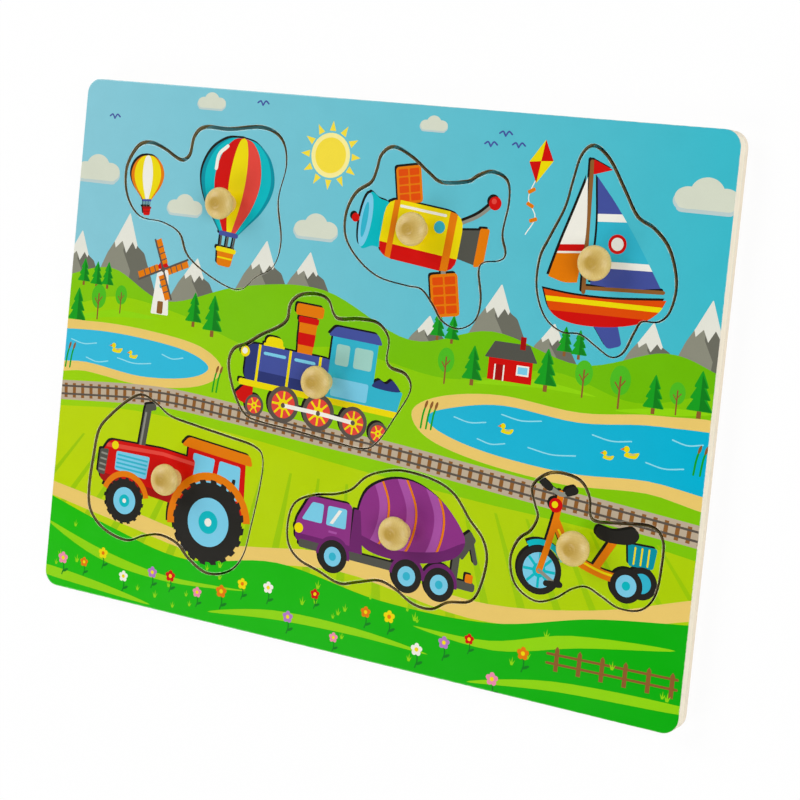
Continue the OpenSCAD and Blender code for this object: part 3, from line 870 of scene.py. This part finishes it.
def meadow():
    """A field with rows, a sandy path, a meadow with paler stripes, a fence and flowers."""
    d = ground("field", (-REACH, -33), (-110, -29), (-60, -31), (0, -36), (60, -40), (110, -42),
               (REACH, -47))
    for x in range(-150, 160, 15):
        d += ink("row", shape((0.9 * x - 1.0, -43), (0.9 * x + 0.2, -43), (1.15 * x + 3.4, -90),
                              (1.15 * x - 1.0, -90)))
    d += ink("sand", np.vstack([path((-REACH, -66), (-110, -72), (-60, -78), (0, -72), (60, -79),
                                     (110, -73), (REACH, -60)),
                                path((REACH, -68), (110, -80), (60, -86), (0, -79), (-60, -85),
                                     (-110, -79), (-REACH, -72))])[::-1])
    d += ground("grass", (-REACH, -72), (-118, -81), (-76, -88), (-30, -81), (20, -87), (70, -86),
                (112, -76), (REACH, -70))
    d += ink("stripe",
             loop((-152, -84), (-120, -92), (-84, -97), (-44, -95.6), (-84, -99.4), (-122, -96)),
             loop((-62, -108), (-30, -101), (10, -100.4), (44, -104), (10, -103.4), (-28, -104.6)),
             loop((36, -94), (70, -93), (104, -84), (146, -81), (108, -88), (72, -96.4)),
             loop((62, -111), (98, -103), (150, -101), (152, -104), (100, -106.6)),
             loop((-153, -104), (-120, -106.6), (-92, -111), (-122, -110), (-153, -108)))
    for x in np.arange(99, 150, 9.4):
        d += ink("wood", shape((x - 0.9, -99), (x + 0.9, -99), (x + 0.9, -90.4), (x, -89.2),
                               (x - 0.9, -90.4)))
    d += ink("wood", band(1.0, (95, -92.6), (148, -91.6)), band(1.0, (95, -96.2), (148, -95.4)))
    for x, y in zip(scatter.uniform(-146, 146, 34), scatter.uniform(-110, -84, 34)):
        d += tuft(x, y, scatter.uniform(1.1, 1.7))
    colours = ("pink", "orange", "yellow", "white", "lilac", "red")
    places = np.stack([np.linspace(-142, 86, 20), scatter.uniform(-106, -91, 20)], 1)
    for k, (x, y) in enumerate(places + scatter.uniform(-2, 2, places.shape)):
        d += flower(x, y, scatter.uniform(2.0, 2.7), colours[k % len(colours)])
    return d


lay(meadow)

# %% Railway
def railway():
    """A gravel bed with sleepers square to the line, and two rails."""
    line = path((-REACH, -26), (-100, -21.4), (-60, -22.6), (-19.5, -25.2), (20, -27.4),
                (70, -31.4), (REACH, -38), steps=14)
    along = np.gradient(line, axis=0)
    way = np.r_[0, np.cumsum(np.linalg.norm(np.diff(line, axis=0), axis=1))]
    stops = np.arange(2, way[-1], 4.6)
    middle = np.stack([np.interp(stops, way, line[:, k]) for k in (0, 1)], 1)
    rise, run = (np.interp(stops, way, along[:, k]) for k in (1, 0))
    slope = np.degrees(np.arctan2(rise, run))
    d = ink("gravel", np.vstack([(line + (0, 4.4))[::-1], line - (0, 4.2)]))
    d += ink("wood", *(block(x, y, 1.7, 6.4, turn=a) for (x, y), a in zip(middle, slope)))
    return (d + ink("rail", *(np.vstack([(line + (0, k + 0.45))[::-1], line + (0, k - 0.45)])
                              for k in (1.9, -1.6))))


lay(railway)
print("all its outlines have", sum(len(outline) for _, outline, _ in LANDSCAPE), "points")

# %% [markdown]
# ## Printing the picture into the papers
# Each paper is a sheet 0.2 mm thick with the outline of its board, sawn together with it. The
# sheet's outline is read from the exact model. All the outlines of the drawing are then laid
# over it, and one triangulation that keeps every line cuts them into triangles. It also says
# which outlines each triangle lies in, so the frontmost of them gives it its ink. The ink is
# stored per face corner, which keeps borders sharp, and a second inner outline lets the
# varnished edge drop a little where the saw has broken it.

# %% Outlines of the exact solids
LEVEL_WITHIN = 0.001


def border_edges(triangles, count):
    """Edges that no neighbour uses the other way round. Each edge gets a number, its first point
    times the count of points plus its second, and its twin's number has the two exchanged."""
    edges = np.concatenate([triangles[:, [0, 1]], triangles[:, [1, 2]], triangles[:, [2, 0]]])
    codes = edges[:, 0].astype(np.int64) * count + edges[:, 1]
    twins = edges[:, 1].astype(np.int64) * count + edges[:, 0]
    return edges[~np.isin(codes, twins)]


def top_outlines(node):
    """Closed outlines of a solid's top face in millimetres, the largest first. To put the border
    edges in order, each point learns its distance to the first point of its own outline, by
    steps that double in length."""
    mesh = frame["nodes"][node].data
    points = np.empty(3 * len(mesh.vertices), np.float32)
    mesh.vertices.foreach_get("co", points)
    mesh.calc_loop_triangles()
    corners = np.empty(3 * len(mesh.loop_triangles), np.int32)
    mesh.loop_triangles.foreach_get("vertices", corners)
    points, index = np.unique(np.round(points.reshape(-1, 3) / MM, 4), axis=0, return_inverse=True)
    triangles = index.reshape(-1)[corners.reshape(-1, 3)]
    top = triangles[(points[triangles][:, :, 2] > points[:, 2].max() - LEVEL_WITHIN).all(1)]
    edges = border_edges(top, len(points))
    follow = np.arange(len(points))
    follow[edges[:, 0]] = edges[:, 1]
    doublings = int(np.ceil(np.log2(len(points)))) + 1
    first, jump = np.arange(len(points)), follow.copy()
    for _ in range(doublings):
        first = np.minimum(first, first[jump])
        jump = jump[jump]
    is_first = first == np.arange(len(points))
    jump = np.where(is_first, np.arange(len(points)), follow)
    steps = np.where(is_first, 0, 1)
    for _ in range(doublings):
        steps = steps + steps[jump]
        jump = jump[jump]
    loops = []
    for start in np.unique(first[edges[:, 0]]):
        members = np.flatnonzero(first == start)
        to_go = np.where(members == start, len(points), steps[members])
        loops.append(points[members[np.argsort(-to_go)], :2])
    return sorted(loops, key=lambda p: -np.ptp(p[:, 0]))


FACE_OUTLINES = top_outlines("face_print")
print("outlines of the face, the outer one first, of", [len(p) for p in FACE_OUTLINES], "points")

# %% Cutting the drawing into a sheet
EDGE_BAND = 0.45
SQUARED_AT_RIGHT_ANGLE = 0.5
INSIDE_ONLY = 1
MERGED_WITHIN = 0.001


def moved_inwards(outline, distance):
    """The outline moved to its left side. Each point moves along the mean of the normals of the
    two edges that meet in it, divided by its squared length, so further where the corner is
    sharper. The divisor is at least what it is at a right angle."""
    on = np.roll(outline, -1, axis=0) - outline
    on /= np.linalg.norm(on, axis=1, keepdims=True)
    normal = np.stack([-on[:, 1], on[:, 0]], 1)
    mean = (normal + np.roll(normal, 1, axis=0)) / 2
    squared = np.maximum((mean * mean).sum(1, keepdims=True), SQUARED_AT_RIGHT_ANGLE)
    return outline + distance * mean / squared


def area_of(outline):
    """Half the sum of the cross products of neighbouring points: positive when anticlockwise."""
    x, y = outline.T
    return 0.5 * (x * np.roll(y, -1) - y * np.roll(x, -1)).sum()


def cut_areas(loops, drawing):
    """Triangles of the sheet inside the outer outline and outside the others, and the number of
    the ink of each: the frontmost area that holds the triangle, if its mask holds it too."""
    low, high = loops[0].min(0), loops[0].max(0)
    drawing = [a for a in drawing if (a[1].max(0) > low).all() and (a[1].min(0) < high).all()]
    masks = {id(mask): mask for _, _, mask in drawing if mask is not None}
    outlines = list(loops) + [area[1] for area in drawing] + list(masks.values())
    outlines = [outline if area_of(outline) > 0 else outline[::-1] for outline in outlines]
    inner = [moved_inwards(outline, EDGE_BAND) for outline in loops]
    counts = np.array([len(outline) for outline in outlines + inner])
    ends = np.cumsum(counts)
    rings = [np.arange(end - count, end) for end, count in zip(ends, counts)]
    edges = np.concatenate([np.stack([ring, np.roll(ring, -1)], 1) for ring in rings[len(outlines):]])
    faces = [ring.tolist() for ring in rings[: len(outlines)]]
    points = np.vstack(outlines + inner)
    made = delaunay_2d_cdt(points.tolist(), edges.tolist(), faces, INSIDE_ONLY, MERGED_WITHIN, True)
    spots, triangles, holders = np.array(made[0]), np.array(made[2]), made[5]
    amounts = np.fromiter(map(len, holders), int, len(holders))
    face_of = np.fromiter(chain.from_iterable(holders), int, amounts.sum())
    triangle_of = np.repeat(np.arange(len(holders)), amounts)
    holds = np.zeros((len(outlines), len(holders)), bool)
    holds[face_of, triangle_of] = True
    inside = holds[0] & ~holds[1 : len(loops)].any(0)
    number = np.full(len(holders), INK_NAMES.index("white"))
    mask_row = {key: len(loops) + len(drawing) + k for k, key in enumerate(masks)}
    for k, (name, _, mask) in enumerate(drawing):
        covered = holds[len(loops) + k]
        if mask is not None:
            covered = covered & holds[mask_row[id(mask)]]
        number[covered] = INK_NAMES.index(name)
    return spots, triangles[inside], number[inside]


test_cut = cut_areas([block(0, 0, 20, 20)], discs(0, 0, ("red", 8)))
print("a square with one disc on it is cut into", len(test_cut[1]), "triangles")

# %% Building a sheet
EDGE_DROP = 0.07


def printed_sheet(name, node, drawing, body):
    """The paper of a board as a closed mesh that replaces its exact solid: the cut triangles at
    its top, a little lower on the rim, the same turned over at its bottom, and two triangles on
    each edge of the rim between them."""
    low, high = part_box(node)
    spots, triangles, number = cut_areas(top_outlines(node), drawing)
    used, triangles = np.unique(triangles, return_inverse=True)
    spots, triangles = spots[used], triangles.reshape(-1, 3)
    rim_edges = border_edges(triangles, len(spots))
    rim = np.zeros(len(spots), np.float32)
    rim[rim_edges.ravel()] = 1
    top = np.column_stack([spots * MM, high.z - rim * EDGE_DROP * MM])
    bottom = np.column_stack([spots * MM, np.full(len(spots), low.z)])
    n = len(spots)
    start, end = rim_edges.T
    walls = [np.stack([start, start + n, end + n], 1), np.stack([start, end + n, end], 1)]
    faces = np.concatenate([triangles, triangles[:, ::-1] + n, *walls])
    mesh = bpy.data.meshes.new(name)
    mesh.from_pydata(np.concatenate([top, bottom]).tolist(), [], faces.tolist())
    colours = np.ones((len(faces), 3, 4), np.float32)
    colours[:, :, :3] = linear(INKS["white"])
    colours[: len(triangles), :, :3] = ink_colours(number[:, None].repeat(3, 1), spots[triangles])
    mesh.color_attributes.new("ink", "FLOAT_COLOR", "CORNER").data.foreach_set("color", colours.ravel())
    mesh.attributes.new("rim", "FLOAT", "POINT").data.foreach_set("value", np.concatenate([rim, rim]))
    sheet = in_scene(name, mesh)
    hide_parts(node)
    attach(sheet, body)
    print(name, len(triangles), "printed triangles")
    return sheet


print("the rim drops by", EDGE_DROP, "mm over", EDGE_BAND, "mm")

# %% [markdown]
# ## The nine papers
# The tray's face shows only the landscape, because the figures are on the loose pieces. Each
# piece has slid a little in its recess, and its part of the landscape has moved with it. How
# far it has slid comes from the exact model: the middle of the piece less the middle of its
# hole in the face. The paper in the bottom of the recesses repeats the whole picture, which
# tells a child where each piece belongs.

# %% Printing
HOLE_MIDDLES = [(hole.min(0) + hole.max(0)) / 2 for hole in FACE_OUTLINES[1:]]


def middle_of(node):
    """Middle of a solid in plan, in millimetres."""
    low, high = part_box(node)
    return np.array(((low + high) / 2)[:2]) / MM


def slid_from_hole(middle):
    """The way from the middle of the nearest hole to the middle of a piece."""
    return min((middle - hole for hole in HOLE_MIDDLES), key=np.linalg.norm)


sheets = {"face_print": printed_sheet("face_sheet", "face_print", LANDSCAPE, "tray")}
whole_picture = list(LANDSCAPE)
for figure in FIGURES:
    middle = middle_of(figure + "_print")
    slid = slid_from_hole(middle)
    print(figure, "has slid", slid.round(2), "mm")
    at_rest = placed(LANDSCAPE, *slid) + placed(FIGURE_DRAWINGS[figure], *middle)
    sheets[figure + "_print"] = printed_sheet(figure + "_sheet", figure + "_print", at_rest, figure)
    whole_picture += placed(FIGURE_DRAWINGS[figure], *(middle - slid))
sheets["recess_print"] = printed_sheet("recess_sheet", "recess_print", whole_picture, "tray")

# %% [markdown]
# ## Varnished print
# The paper shows its inks under a glossy varnish. The material reads the ink from the mesh, makes
# it very slightly uneven as offset printing is, and bares a little pale paper along the cut
# edge, where noise decides how far. The varnish is a clear coat. Under it the paper has a fine
# grain, and the plywood's own grain shows through as faint long waves in the gloss.

# %% Material of the papers
FACE_VARNISH = dict(coat=0.3, roughness=0.33)
RECESS_VARNISH = dict(coat=0.15, roughness=0.42)
VARNISH_ROUGHNESS, PAPER_SHINE = 0.09, 0.12
BARE_PAPER = "#E6DCC2"
MOST_BARE = 0.75
NOISE_SPREAD = (0.3, 0.7)
MIX_FACTOR, MIX_FIRST, MIX_SECOND, MIX_RESULT = 0, 6, 7, 2


def start_material(name):
    """A new material with its tree and its main shader."""
    material = bpy.data.materials.new(name)
    material.use_nodes = True
    return material, material.node_tree, material.node_tree.nodes["Principled BSDF"]


def noise_at(tree, place, scale, detail=3.0, rough=0.5, stretch=None):
    """Noise between 0 and 1, most of it within NOISE_SPREAD, with so many waves to a unit of the
    place. It is longer along the axes with a small stretch."""
    if stretch:
        place = add_node(tree, "ShaderNodeMapping", {"Vector": place, "Scale": stretch}).outputs[0]
    made = add_node(tree, "ShaderNodeTexNoise",
                    {"Vector": place, "Scale": scale, "Detail": detail, "Roughness": rough})
    return made.outputs["Fac"]


def mixed_colour(tree, factor, first, second, blend="MIX"):
    """First colour at factor 0, second at 1. Multiply takes the factor as its strength. The mix
    node's sockets share their names, so they are told apart by number."""
    inputs = {MIX_FACTOR: factor, MIX_FIRST: first, MIX_SECOND: second}
    made = add_node(tree, "ShaderNodeMix", inputs, data_type="RGBA", blend_type=blend)
    return made.outputs[MIX_RESULT]


def bumped(tree, *layers):
    """Normal of bump layers (height, distance in metres), one over the other."""
    normal = None
    for height, distance in layers:
        inputs = {"Height": height, "Distance": distance, "Strength": 1.0}
        if normal:
            inputs["Normal"] = normal
        normal = add_node(tree, "ShaderNodeBump", inputs).outputs[0]
    return normal


def rgba(tone):
    """Written tone as a linear colour with full alpha."""
    return (*linear(tone), 1.0)


def varnished_print(name, coat, roughness):
    """Ink times two noises close to 1, pale paper where the worn edge and the chips' noise meet,
    and a clear coat of an even weight over a roughness that changes slowly."""
    material, tree, shader = start_material(name)
    place = add_node(tree, "ShaderNodeTexCoord").outputs["Object"]
    printed = add_node(tree, "ShaderNodeAttribute", attribute_name="ink").outputs["Color"]
    rim = add_node(tree, "ShaderNodeAttribute", attribute_name="rim").outputs["Fac"]
    clouds = noise_at(tree, place, scale=90.0, detail=4.0, rough=0.6)
    speckle = noise_at(tree, place, scale=2400.0, detail=2.0)
    tint = worked_out(tree, "MULTIPLY", ranged(tree, clouds, NOISE_SPREAD, (0.965, 1.0)),
                      ranged(tree, speckle, NOISE_SPREAD, (0.97, 1.0)))
    tinted = mixed_colour(tree, 1.0, printed, tint, "MULTIPLY")
    chips = ranged(tree, noise_at(tree, place, scale=420.0, detail=5.0, rough=0.7), (0.42, 0.62))
    bare = worked_out(tree, "MULTIPLY", ranged(tree, rim, (0.35, 1.0), (0.0, MOST_BARE)), chips)
    smear = noise_at(tree, place, scale=34.0, rough=0.55)
    long_waves = noise_at(tree, place, scale=60.0, stretch=(0.35, 3.0, 1.0))
    paper_grain = noise_at(tree, place, scale=1500.0, detail=2.0)
    feed(tree, shader, {
        "Base Color": mixed_colour(tree, bare, tinted, rgba(BARE_PAPER)),
        "Roughness": ranged(tree, smear, NOISE_SPREAD, (roughness - 0.05, roughness + 0.07)),
        "Coat Weight": coat,
        "Coat Roughness": VARNISH_ROUGHNESS,
        "Specular IOR Level": PAPER_SHINE,
        "Normal": bumped(tree, (long_waves, 0.08 * MM), (paper_grain, 0.012 * MM)),
    })
    return material


for node, sheet in sheets.items():
    varnish = RECESS_VARNISH if node == "recess_print" else FACE_VARNISH
    sheet.data.materials.append(varnished_print(node.replace("print", "paper"), **varnish))
    print(sheet.name, "is of", sheet.data.materials[0].name)

# %% [markdown]
# ## Turned knobs
# A knob is turned from a dowel: a hollow neck, a flat oval head, and a small flat on top where
# the lathe's centre held it. The exact solid has the profile with few sides. Here the profile is
# carried round the axis on a fine grid. The flat is a shallow dish with the centre's ring in it,
# and the head has the faint rings of the tool. The shank goes down into the plate, as on the
# real one.

# %% Knob surface
KNOB_SIDES, NECK_STEPS, HEAD_STEPS, DISH_STEPS = 96, 9, 44, 13
KNOB_LOW, KNOB_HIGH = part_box("balloons_knob")
KNOB_D = (KNOB_HIGH.x - KNOB_LOW.x) / MM
KNOB_H = KNOB_HIGH.z / MM - FACE_Z
SHANK_LENGTH = FACE_Z - KNOB_LOW.z / MM
NECK_H, FLAT_D, NECK_D, FOOT_D, SHANK_D = 3.6, 5.0, 7.2, 8.0, 6.0
SHANK_CHAMFER, UNDER_FOOT, FOOT_CHAMFER = 0.3, 0.02, 0.05
DISH_DEPTH, TOOL_RINGS, RING_STEP = 0.3, 0.008, 0.62
RIDGE_H, RIDGE_AT, RIDGE_WIDTH = 0.08, 0.3, 0.1


def knob_profile():
    """Radius and height from the shank's end to the top: a straight shank, a neck that follows a
    cosine from the foot's radius to its own, an ellipse for the head, whose half height fills
    what the neck leaves, then the flat, a parabola with a small ridge near its middle."""
    flat_share, neck_share = FLAT_D / KNOB_D, NECK_D / KNOB_D
    above, below = math.sqrt(1 - flat_share**2), math.sqrt(1 - neck_share**2)
    rise = (KNOB_H - NECK_H) / (above + below)
    middle = NECK_H + rise * below
    t = np.linspace(0, 1, NECK_STEPS)[:-1]
    neck = np.stack([NECK_D / 2 + (FOOT_D - NECK_D) / 2 * (1 + np.cos(np.pi * t)) / 2, NECK_H * t], 1)
    a = np.linspace(-math.acos(neck_share), math.acos(flat_share), HEAD_STEPS)
    head = np.stack([KNOB_D / 2 * np.cos(a), middle + rise * np.sin(a)], 1)
    head[:, 0] -= TOOL_RINGS * (1 + np.sin(head[:, 1] * 2 * np.pi / RING_STEP))
    s = np.linspace(1, 0, DISH_STEPS)[1:-1]
    ridge = RIDGE_H * np.exp(-(((s - RIDGE_AT) / RIDGE_WIDTH) ** 2))
    flat = np.stack([FLAT_D / 2 * s, KNOB_H - DISH_DEPTH * (1 - s**2) + ridge], 1)
    r, end = SHANK_D / 2, -SHANK_LENGTH
    shank = np.array([(r - SHANK_CHAMFER, end), (r, SHANK_CHAMFER + end), (r, -UNDER_FOOT),
                      (FOOT_D / 2 - FOOT_CHAMFER, 0.0)])
    return np.vstack([shank, neck, head, flat])


def turned_surface(profile, middle, angle):
    """Closed surface of a profile carried round an upright axis: x is r cos a, y is r sin a. Also
    each point's place in the knob's own block of wood, which is turned by its own angle."""
    a = np.linspace(0, 2 * np.pi, KNOB_SIDES, endpoint=False)
    r, z = profile[:, :1], profile[:, 1:]
    rings = np.stack([r * np.cos(a), r * np.sin(a), z + 0 * a], 2).reshape(-1, 3)
    ends = np.array([(0, 0, profile[0, 1]), (0, 0, profile[-1, 1])])
    points = np.vstack([rings, ends])
    n, m = len(profile), KNOB_SIDES
    i, j = np.meshgrid(np.arange(n - 1), np.arange(m), indexing="ij")
    after = (j + 1) % m
    quads = np.stack([i * m + j, i * m + after, (i + 1) * m + after, (i + 1) * m + j], 2).reshape(-1, 4)
    k = np.arange(m)
    foot = np.stack([(k + 1) % m, k, np.full(m, n * m)], 1)
    crown = np.stack([(n - 1) * m + k, (n - 1) * m + (k + 1) % m, np.full(m, n * m + 1)], 1)
    c, s = math.cos(angle), math.sin(angle)
    own = points @ np.array([(c, s, 0), (-s, c, 0), (0, 0, 1)])
    return (points + middle) * MM, quads.tolist() + foot.tolist() + crown.tolist(), own


print("profile of a knob:", len(knob_profile()), "points, head", round(KNOB_D, 2), "mm across")

# %% [markdown]
# ## The knobs' wood
# The wood is a pale hardwood with a clear varnish. Its rings are cylinders about a pith that lies
# outside the knob, so they cross the round top as wide arcs and run down the sides as lines. The
# dish on the top shows end grain, which drinks more varnish and is darker. The same darker tone
# spreads from it over the crown as painted shade, to about 6 mm from the axis.

# %% Knob material
EARLY_WOOD, LATE_WOOD = "#E6CC82", "#DEC174"
# The last tone is the end grain on the top. Over the crown it is laid wider as painted shade.
BLOTCH, PORE, END_GRAIN_AND_SHADE = "#D2B466", "#C09A4C", "#AA8620"
PITH_AT = (9.0, 5.0, 0.0)
LOOKS_UP = (0.55, 0.85)
DARK_CROWN_FADES, DARK_CROWN_SHARE = (2.2, 6.4), 0.8


def knob_wood():
    """Rings and pores tint a pale tone a little. A darker tone, of end grain and of painted shade,
    comes in where the radius is small and the face looks up."""
    material, tree, shader = start_material("knob_wood")
    own = add_node(tree, "ShaderNodeAttribute", attribute_name="wood").outputs["Vector"]
    pith_inputs = {"Vector": own, "Location": PITH_AT, "Scale": (1.0, 1.0, 0.06)}
    pith = add_node(tree, "ShaderNodeMapping", pith_inputs).outputs[0]
    ring_inputs = {"Vector": pith, "Scale": 0.34, "Distortion": 1.6, "Detail": 3.0, "Detail Scale": 0.7}
    rings = add_node(tree, "ShaderNodeTexWave", ring_inputs, wave_type="RINGS", rings_direction="Z",
                     wave_profile="SAW").outputs["Fac"]
    pores = noise_at(tree, own, scale=3.2, detail=4.0, rough=0.65, stretch=(1.0, 1.0, 0.12))
    blotches = noise_at(tree, own, scale=0.34, rough=0.6)
    grain = mixed_colour(tree, rings, rgba(EARLY_WOOD), rgba(LATE_WOOD))
    grain = mixed_colour(tree, ranged(tree, blotches, (0.35, 0.65), (0.0, 0.6)), grain, rgba(BLOTCH))
    grain = mixed_colour(tree, ranged(tree, pores, (0.5, 0.75), (0.0, 0.4)), grain, rgba(PORE))
    level = add_node(tree, "ShaderNodeMapping", {"Vector": own, "Scale": (1.0, 1.0, 0.0)}).outputs[0]
    radius = add_node(tree, "ShaderNodeVectorMath", {0: level}, operation="LENGTH").outputs["Value"]
    upright = upward_part(tree, add_node(tree, "ShaderNodeTexCoord").outputs["Normal"])
    ragged = worked_out(tree, "ADD", radius, blotches)
    # The darker tone over the crown: end grain on the flat, and painted shade further out.
    end_grain_and_shade = worked_out(tree, "MULTIPLY", ranged(tree, upright, LOOKS_UP),
                      ranged(tree, ragged, DARK_CROWN_FADES, (DARK_CROWN_SHARE, 0.0)))
    feed(tree, shader, {
        "Base Color": mixed_colour(tree, end_grain_and_shade, grain, rgba(END_GRAIN_AND_SHADE)),
        "Roughness": ranged(tree, pores, NOISE_SPREAD, (0.32, 0.46)),
        "Coat Weight": 0.25,
        "Coat Roughness": 0.28,
        "Specular IOR Level": 0.28,
        "Normal": bumped(tree, (pores, 0.03 * MM), (rings, 0.02 * MM)),
    })
    return material


wood_of_knobs = knob_wood()
print("material", wood_of_knobs.name)

# %% Turning the knobs
WOOD_TURN = 1.9
WOOD_STEP = 40.0
SHARP_ANGLE = math.radians(40)

for k, figure in enumerate(FIGURES):
    node = figure + "_knob"
    middle = np.array([*middle_of(node), FACE_Z])
    points, faces, own = turned_surface(knob_profile(), middle, WOOD_TURN * k)
    mesh = bpy.data.meshes.new(figure + "_turned_knob")
    mesh.from_pydata(points.tolist(), [], faces)
    own = (own + (0, 0, WOOD_STEP * k)).astype(np.float32)
    mesh.attributes.new("wood", "FLOAT_VECTOR", "POINT").data.foreach_set("vector", own.ravel())
    mesh.polygons.foreach_set("use_smooth", np.ones(len(faces), bool))
    mesh.set_sharp_from_angle(angle=SHARP_ANGLE)
    mesh.materials.append(wood_of_knobs)
    knob = in_scene(figure + "_turned_knob", mesh)
    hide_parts(node)
    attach(knob, figure)
    print(knob.name, "of", len(points), "points, top at", round(points[:, 2].max() / MM, 2), "mm")

# %% [markdown]
# ## Plywood and fibreboard
# The frame board and the plates are three-ply: pale outer plies and a darker cross ply between
# them. On sawn walls the plies show as layers by height, with upright marks of the saw. On the
# plates' undersides the same wood lies flat and shows long grain. The material tells the two
# apart by the direction that the face looks in. Towards the top of each cut the walls darken.
# Part of this is browning by the hot fine blade and part is painted shade of the narrow gaps, so
# every piece has a dark line round it. The tray's outer edge is sanded, so it is much paler
# than the sawn walls of the recesses, and here the place on the tray tells the two apart.
# The backing is a thin fibreboard, so it has no grain, only short matted fibres.

# %% Plywood
SANDED_WITHIN = (-3.5 * MM, -2.5 * MM)
# The stops above 0.67 darken the walls towards their top. This is partly the cut's browning and partly
# painted shade of the gaps.
PLY_AND_SHADE_STOPS = ((0.0, "#8C7C50"), (0.06, "#CDBE90"), (0.33, "#C4B482"), (0.36, "#A08E58"),
             (0.64, "#A5925E"), (0.67, "#C8B886"), (0.8, "#A69468"), (0.92, "#5E5232"),
             (1.0, "#463C24"))
PLY_WOBBLE = (-0.04, 0.04)
SAW_MARK = "#85764C"
SANDED_PLY, SANDED_PLY_SHARE = "#F1E9D7", 0.84
FLAT_PALE, FLAT_DARK, FLAT_GRAIN = "#CDA873", "#B88C54", "#8F6838"
WALL_TO_FLAT = (0.4, 0.6)


def sanded_edge(tree, place):
    """1 on the tray's outer edge and 0 further in: the larger of |x| less half the width and |y|
    less half the depth, carried from a little inside the edge to the edge."""
    apart = add_node(tree, "ShaderNodeSeparateXYZ", {0: place}).outputs
    past = [worked_out(tree, "SUBTRACT", worked_out(tree, "ABSOLUTE", apart[axis]), length / 2 * MM)
            for axis, length in zip("XY", TRAY)]
    return ranged(tree, worked_out(tree, "MAXIMUM", *past), SANDED_WITHIN)


def panel_wood():
    """Layers by height on walls, painted shade at their top, long grain on flats, a sanded outer edge.
    """
    material, tree, shader = start_material("panel_wood")
    where = add_node(tree, "ShaderNodeTexCoord").outputs
    place = where["Object"]
    low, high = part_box("frame_board")
    wobble = noise_at(tree, place, scale=120.0, rough=0.6, stretch=(1.0, 1.0, 0.2))
    layer = ranged(tree, upward_part(tree, place), (low.z, high.z))
    layer = worked_out(tree, "ADD", layer, ranged(tree, wobble, (0.0, 1.0), PLY_WOBBLE))
    ply_and_shade_ramp = add_node(tree, "ShaderNodeValToRGB", {"Fac": layer})
    ramp = ply_and_shade_ramp.color_ramp
    for k, (position, tone) in enumerate(PLY_AND_SHADE_STOPS):
        stop = ramp.elements[k] if k < 2 else ramp.elements.new(position)
        stop.position = position
        stop.color = rgba(tone)
    # The ramp gives the layers of the plies, and near the top of the walls it gives painted shade.
    plies_and_shade = ply_and_shade_ramp.outputs["Color"]
    saw_marks = noise_at(tree, place, scale=900.0, rough=0.6, stretch=(1.0, 1.0, 0.05))
    marked = ranged(tree, saw_marks, (0.35, 0.7), (0.0, 0.4))
    wall = mixed_colour(tree, marked, plies_and_shade, rgba(SAW_MARK))
    sanded = mixed_colour(tree, SANDED_PLY_SHARE, plies_and_shade, rgba(SANDED_PLY))
    wall = mixed_colour(tree, sanded_edge(tree, place), wall, sanded)
    long_grain = noise_at(tree, place, scale=260.0, detail=5.0, rough=0.62, stretch=(0.06, 1.0, 1.0))
    broad_grain = noise_at(tree, place, scale=34.0, detail=4.0, rough=0.6, stretch=(0.12, 1.0, 1.0))
    flat = mixed_colour(tree, ranged(tree, broad_grain, NOISE_SPREAD), rgba(FLAT_PALE), rgba(FLAT_DARK))
    streaks = ranged(tree, long_grain, (0.48, 0.72), (0.0, 0.6))
    flat = mixed_colour(tree, streaks, flat, rgba(FLAT_GRAIN))
    steep = worked_out(tree, "ABSOLUTE", upward_part(tree, where["Normal"]))
    feed(tree, shader, {
        "Base Color": mixed_colour(tree, ranged(tree, steep, WALL_TO_FLAT), wall, flat),
        "Roughness": ranged(tree, long_grain, (0.2, 0.8), (0.6, 0.82)),
        "Normal": bumped(tree, (saw_marks, 0.06 * MM), (long_grain, 0.04 * MM)),
    })
    return material


made_plywood = panel_wood()
print("material", made_plywood.name, "with", len(PLY_AND_SHADE_STOPS), "tones from its foot to its top")

# %% Fibreboard
BOARD_PALE, BOARD_DARK = "#A87C4C", "#96693A"
FIBRE, FLECK = "#C9A272", "#5A3C1E"
SANDED_BOARD, SANDED_BOARD_SHARE = "#EFE6D2", 0.86


def backing_wood():
    """Two noises stretched across each other for the fibres, with dark flecks, and a sanded tone
    on the outer edge."""
    material, tree, shader = start_material("backing_wood")
    place = add_node(tree, "ShaderNodeTexCoord").outputs["Object"]
    along, across = (noise_at(tree, place, scale=700.0, detail=4.0, rough=0.65, stretch=stretch)
                     for stretch in ((0.25, 1.0, 1.0), (1.0, 0.25, 1.0)))
    matted = worked_out(tree, "MAXIMUM", along, across)
    clouds = noise_at(tree, place, scale=22.0, detail=4.0, rough=0.6)
    tone = mixed_colour(tree, ranged(tree, clouds, NOISE_SPREAD), rgba(BOARD_PALE), rgba(BOARD_DARK))
    tone = mixed_colour(tree, ranged(tree, matted, (0.5, 0.75), (0.0, 0.75)), tone, rgba(FIBRE))
    flecks = noise_at(tree, place, scale=1500.0, detail=2.0)
    tone = mixed_colour(tree, ranged(tree, flecks, (0.64, 0.7), (0.0, 0.7)), tone, rgba(FLECK))
    sanded = mixed_colour(tree, SANDED_BOARD_SHARE, tone, rgba(SANDED_BOARD))
    feed(tree, shader, {
        "Base Color": mixed_colour(tree, sanded_edge(tree, place), tone, sanded),
        "Roughness": ranged(tree, matted, (0.4, 0.8), (0.72, 0.9)),
        "Normal": bumped(tree, (matted, 0.07 * MM)),
    })
    return material


board_materials = {"panel_wood": made_plywood, "backing_wood": backing_wood()}
for row in frame["record"]["subparts"]:
    made = board_materials.get(row["material_slot"])
    if made:
        mesh = frame["nodes"][row["node"]].data
        mesh.materials.clear()
        mesh.materials.append(made)
        print(row["node"], "is of", made.name)
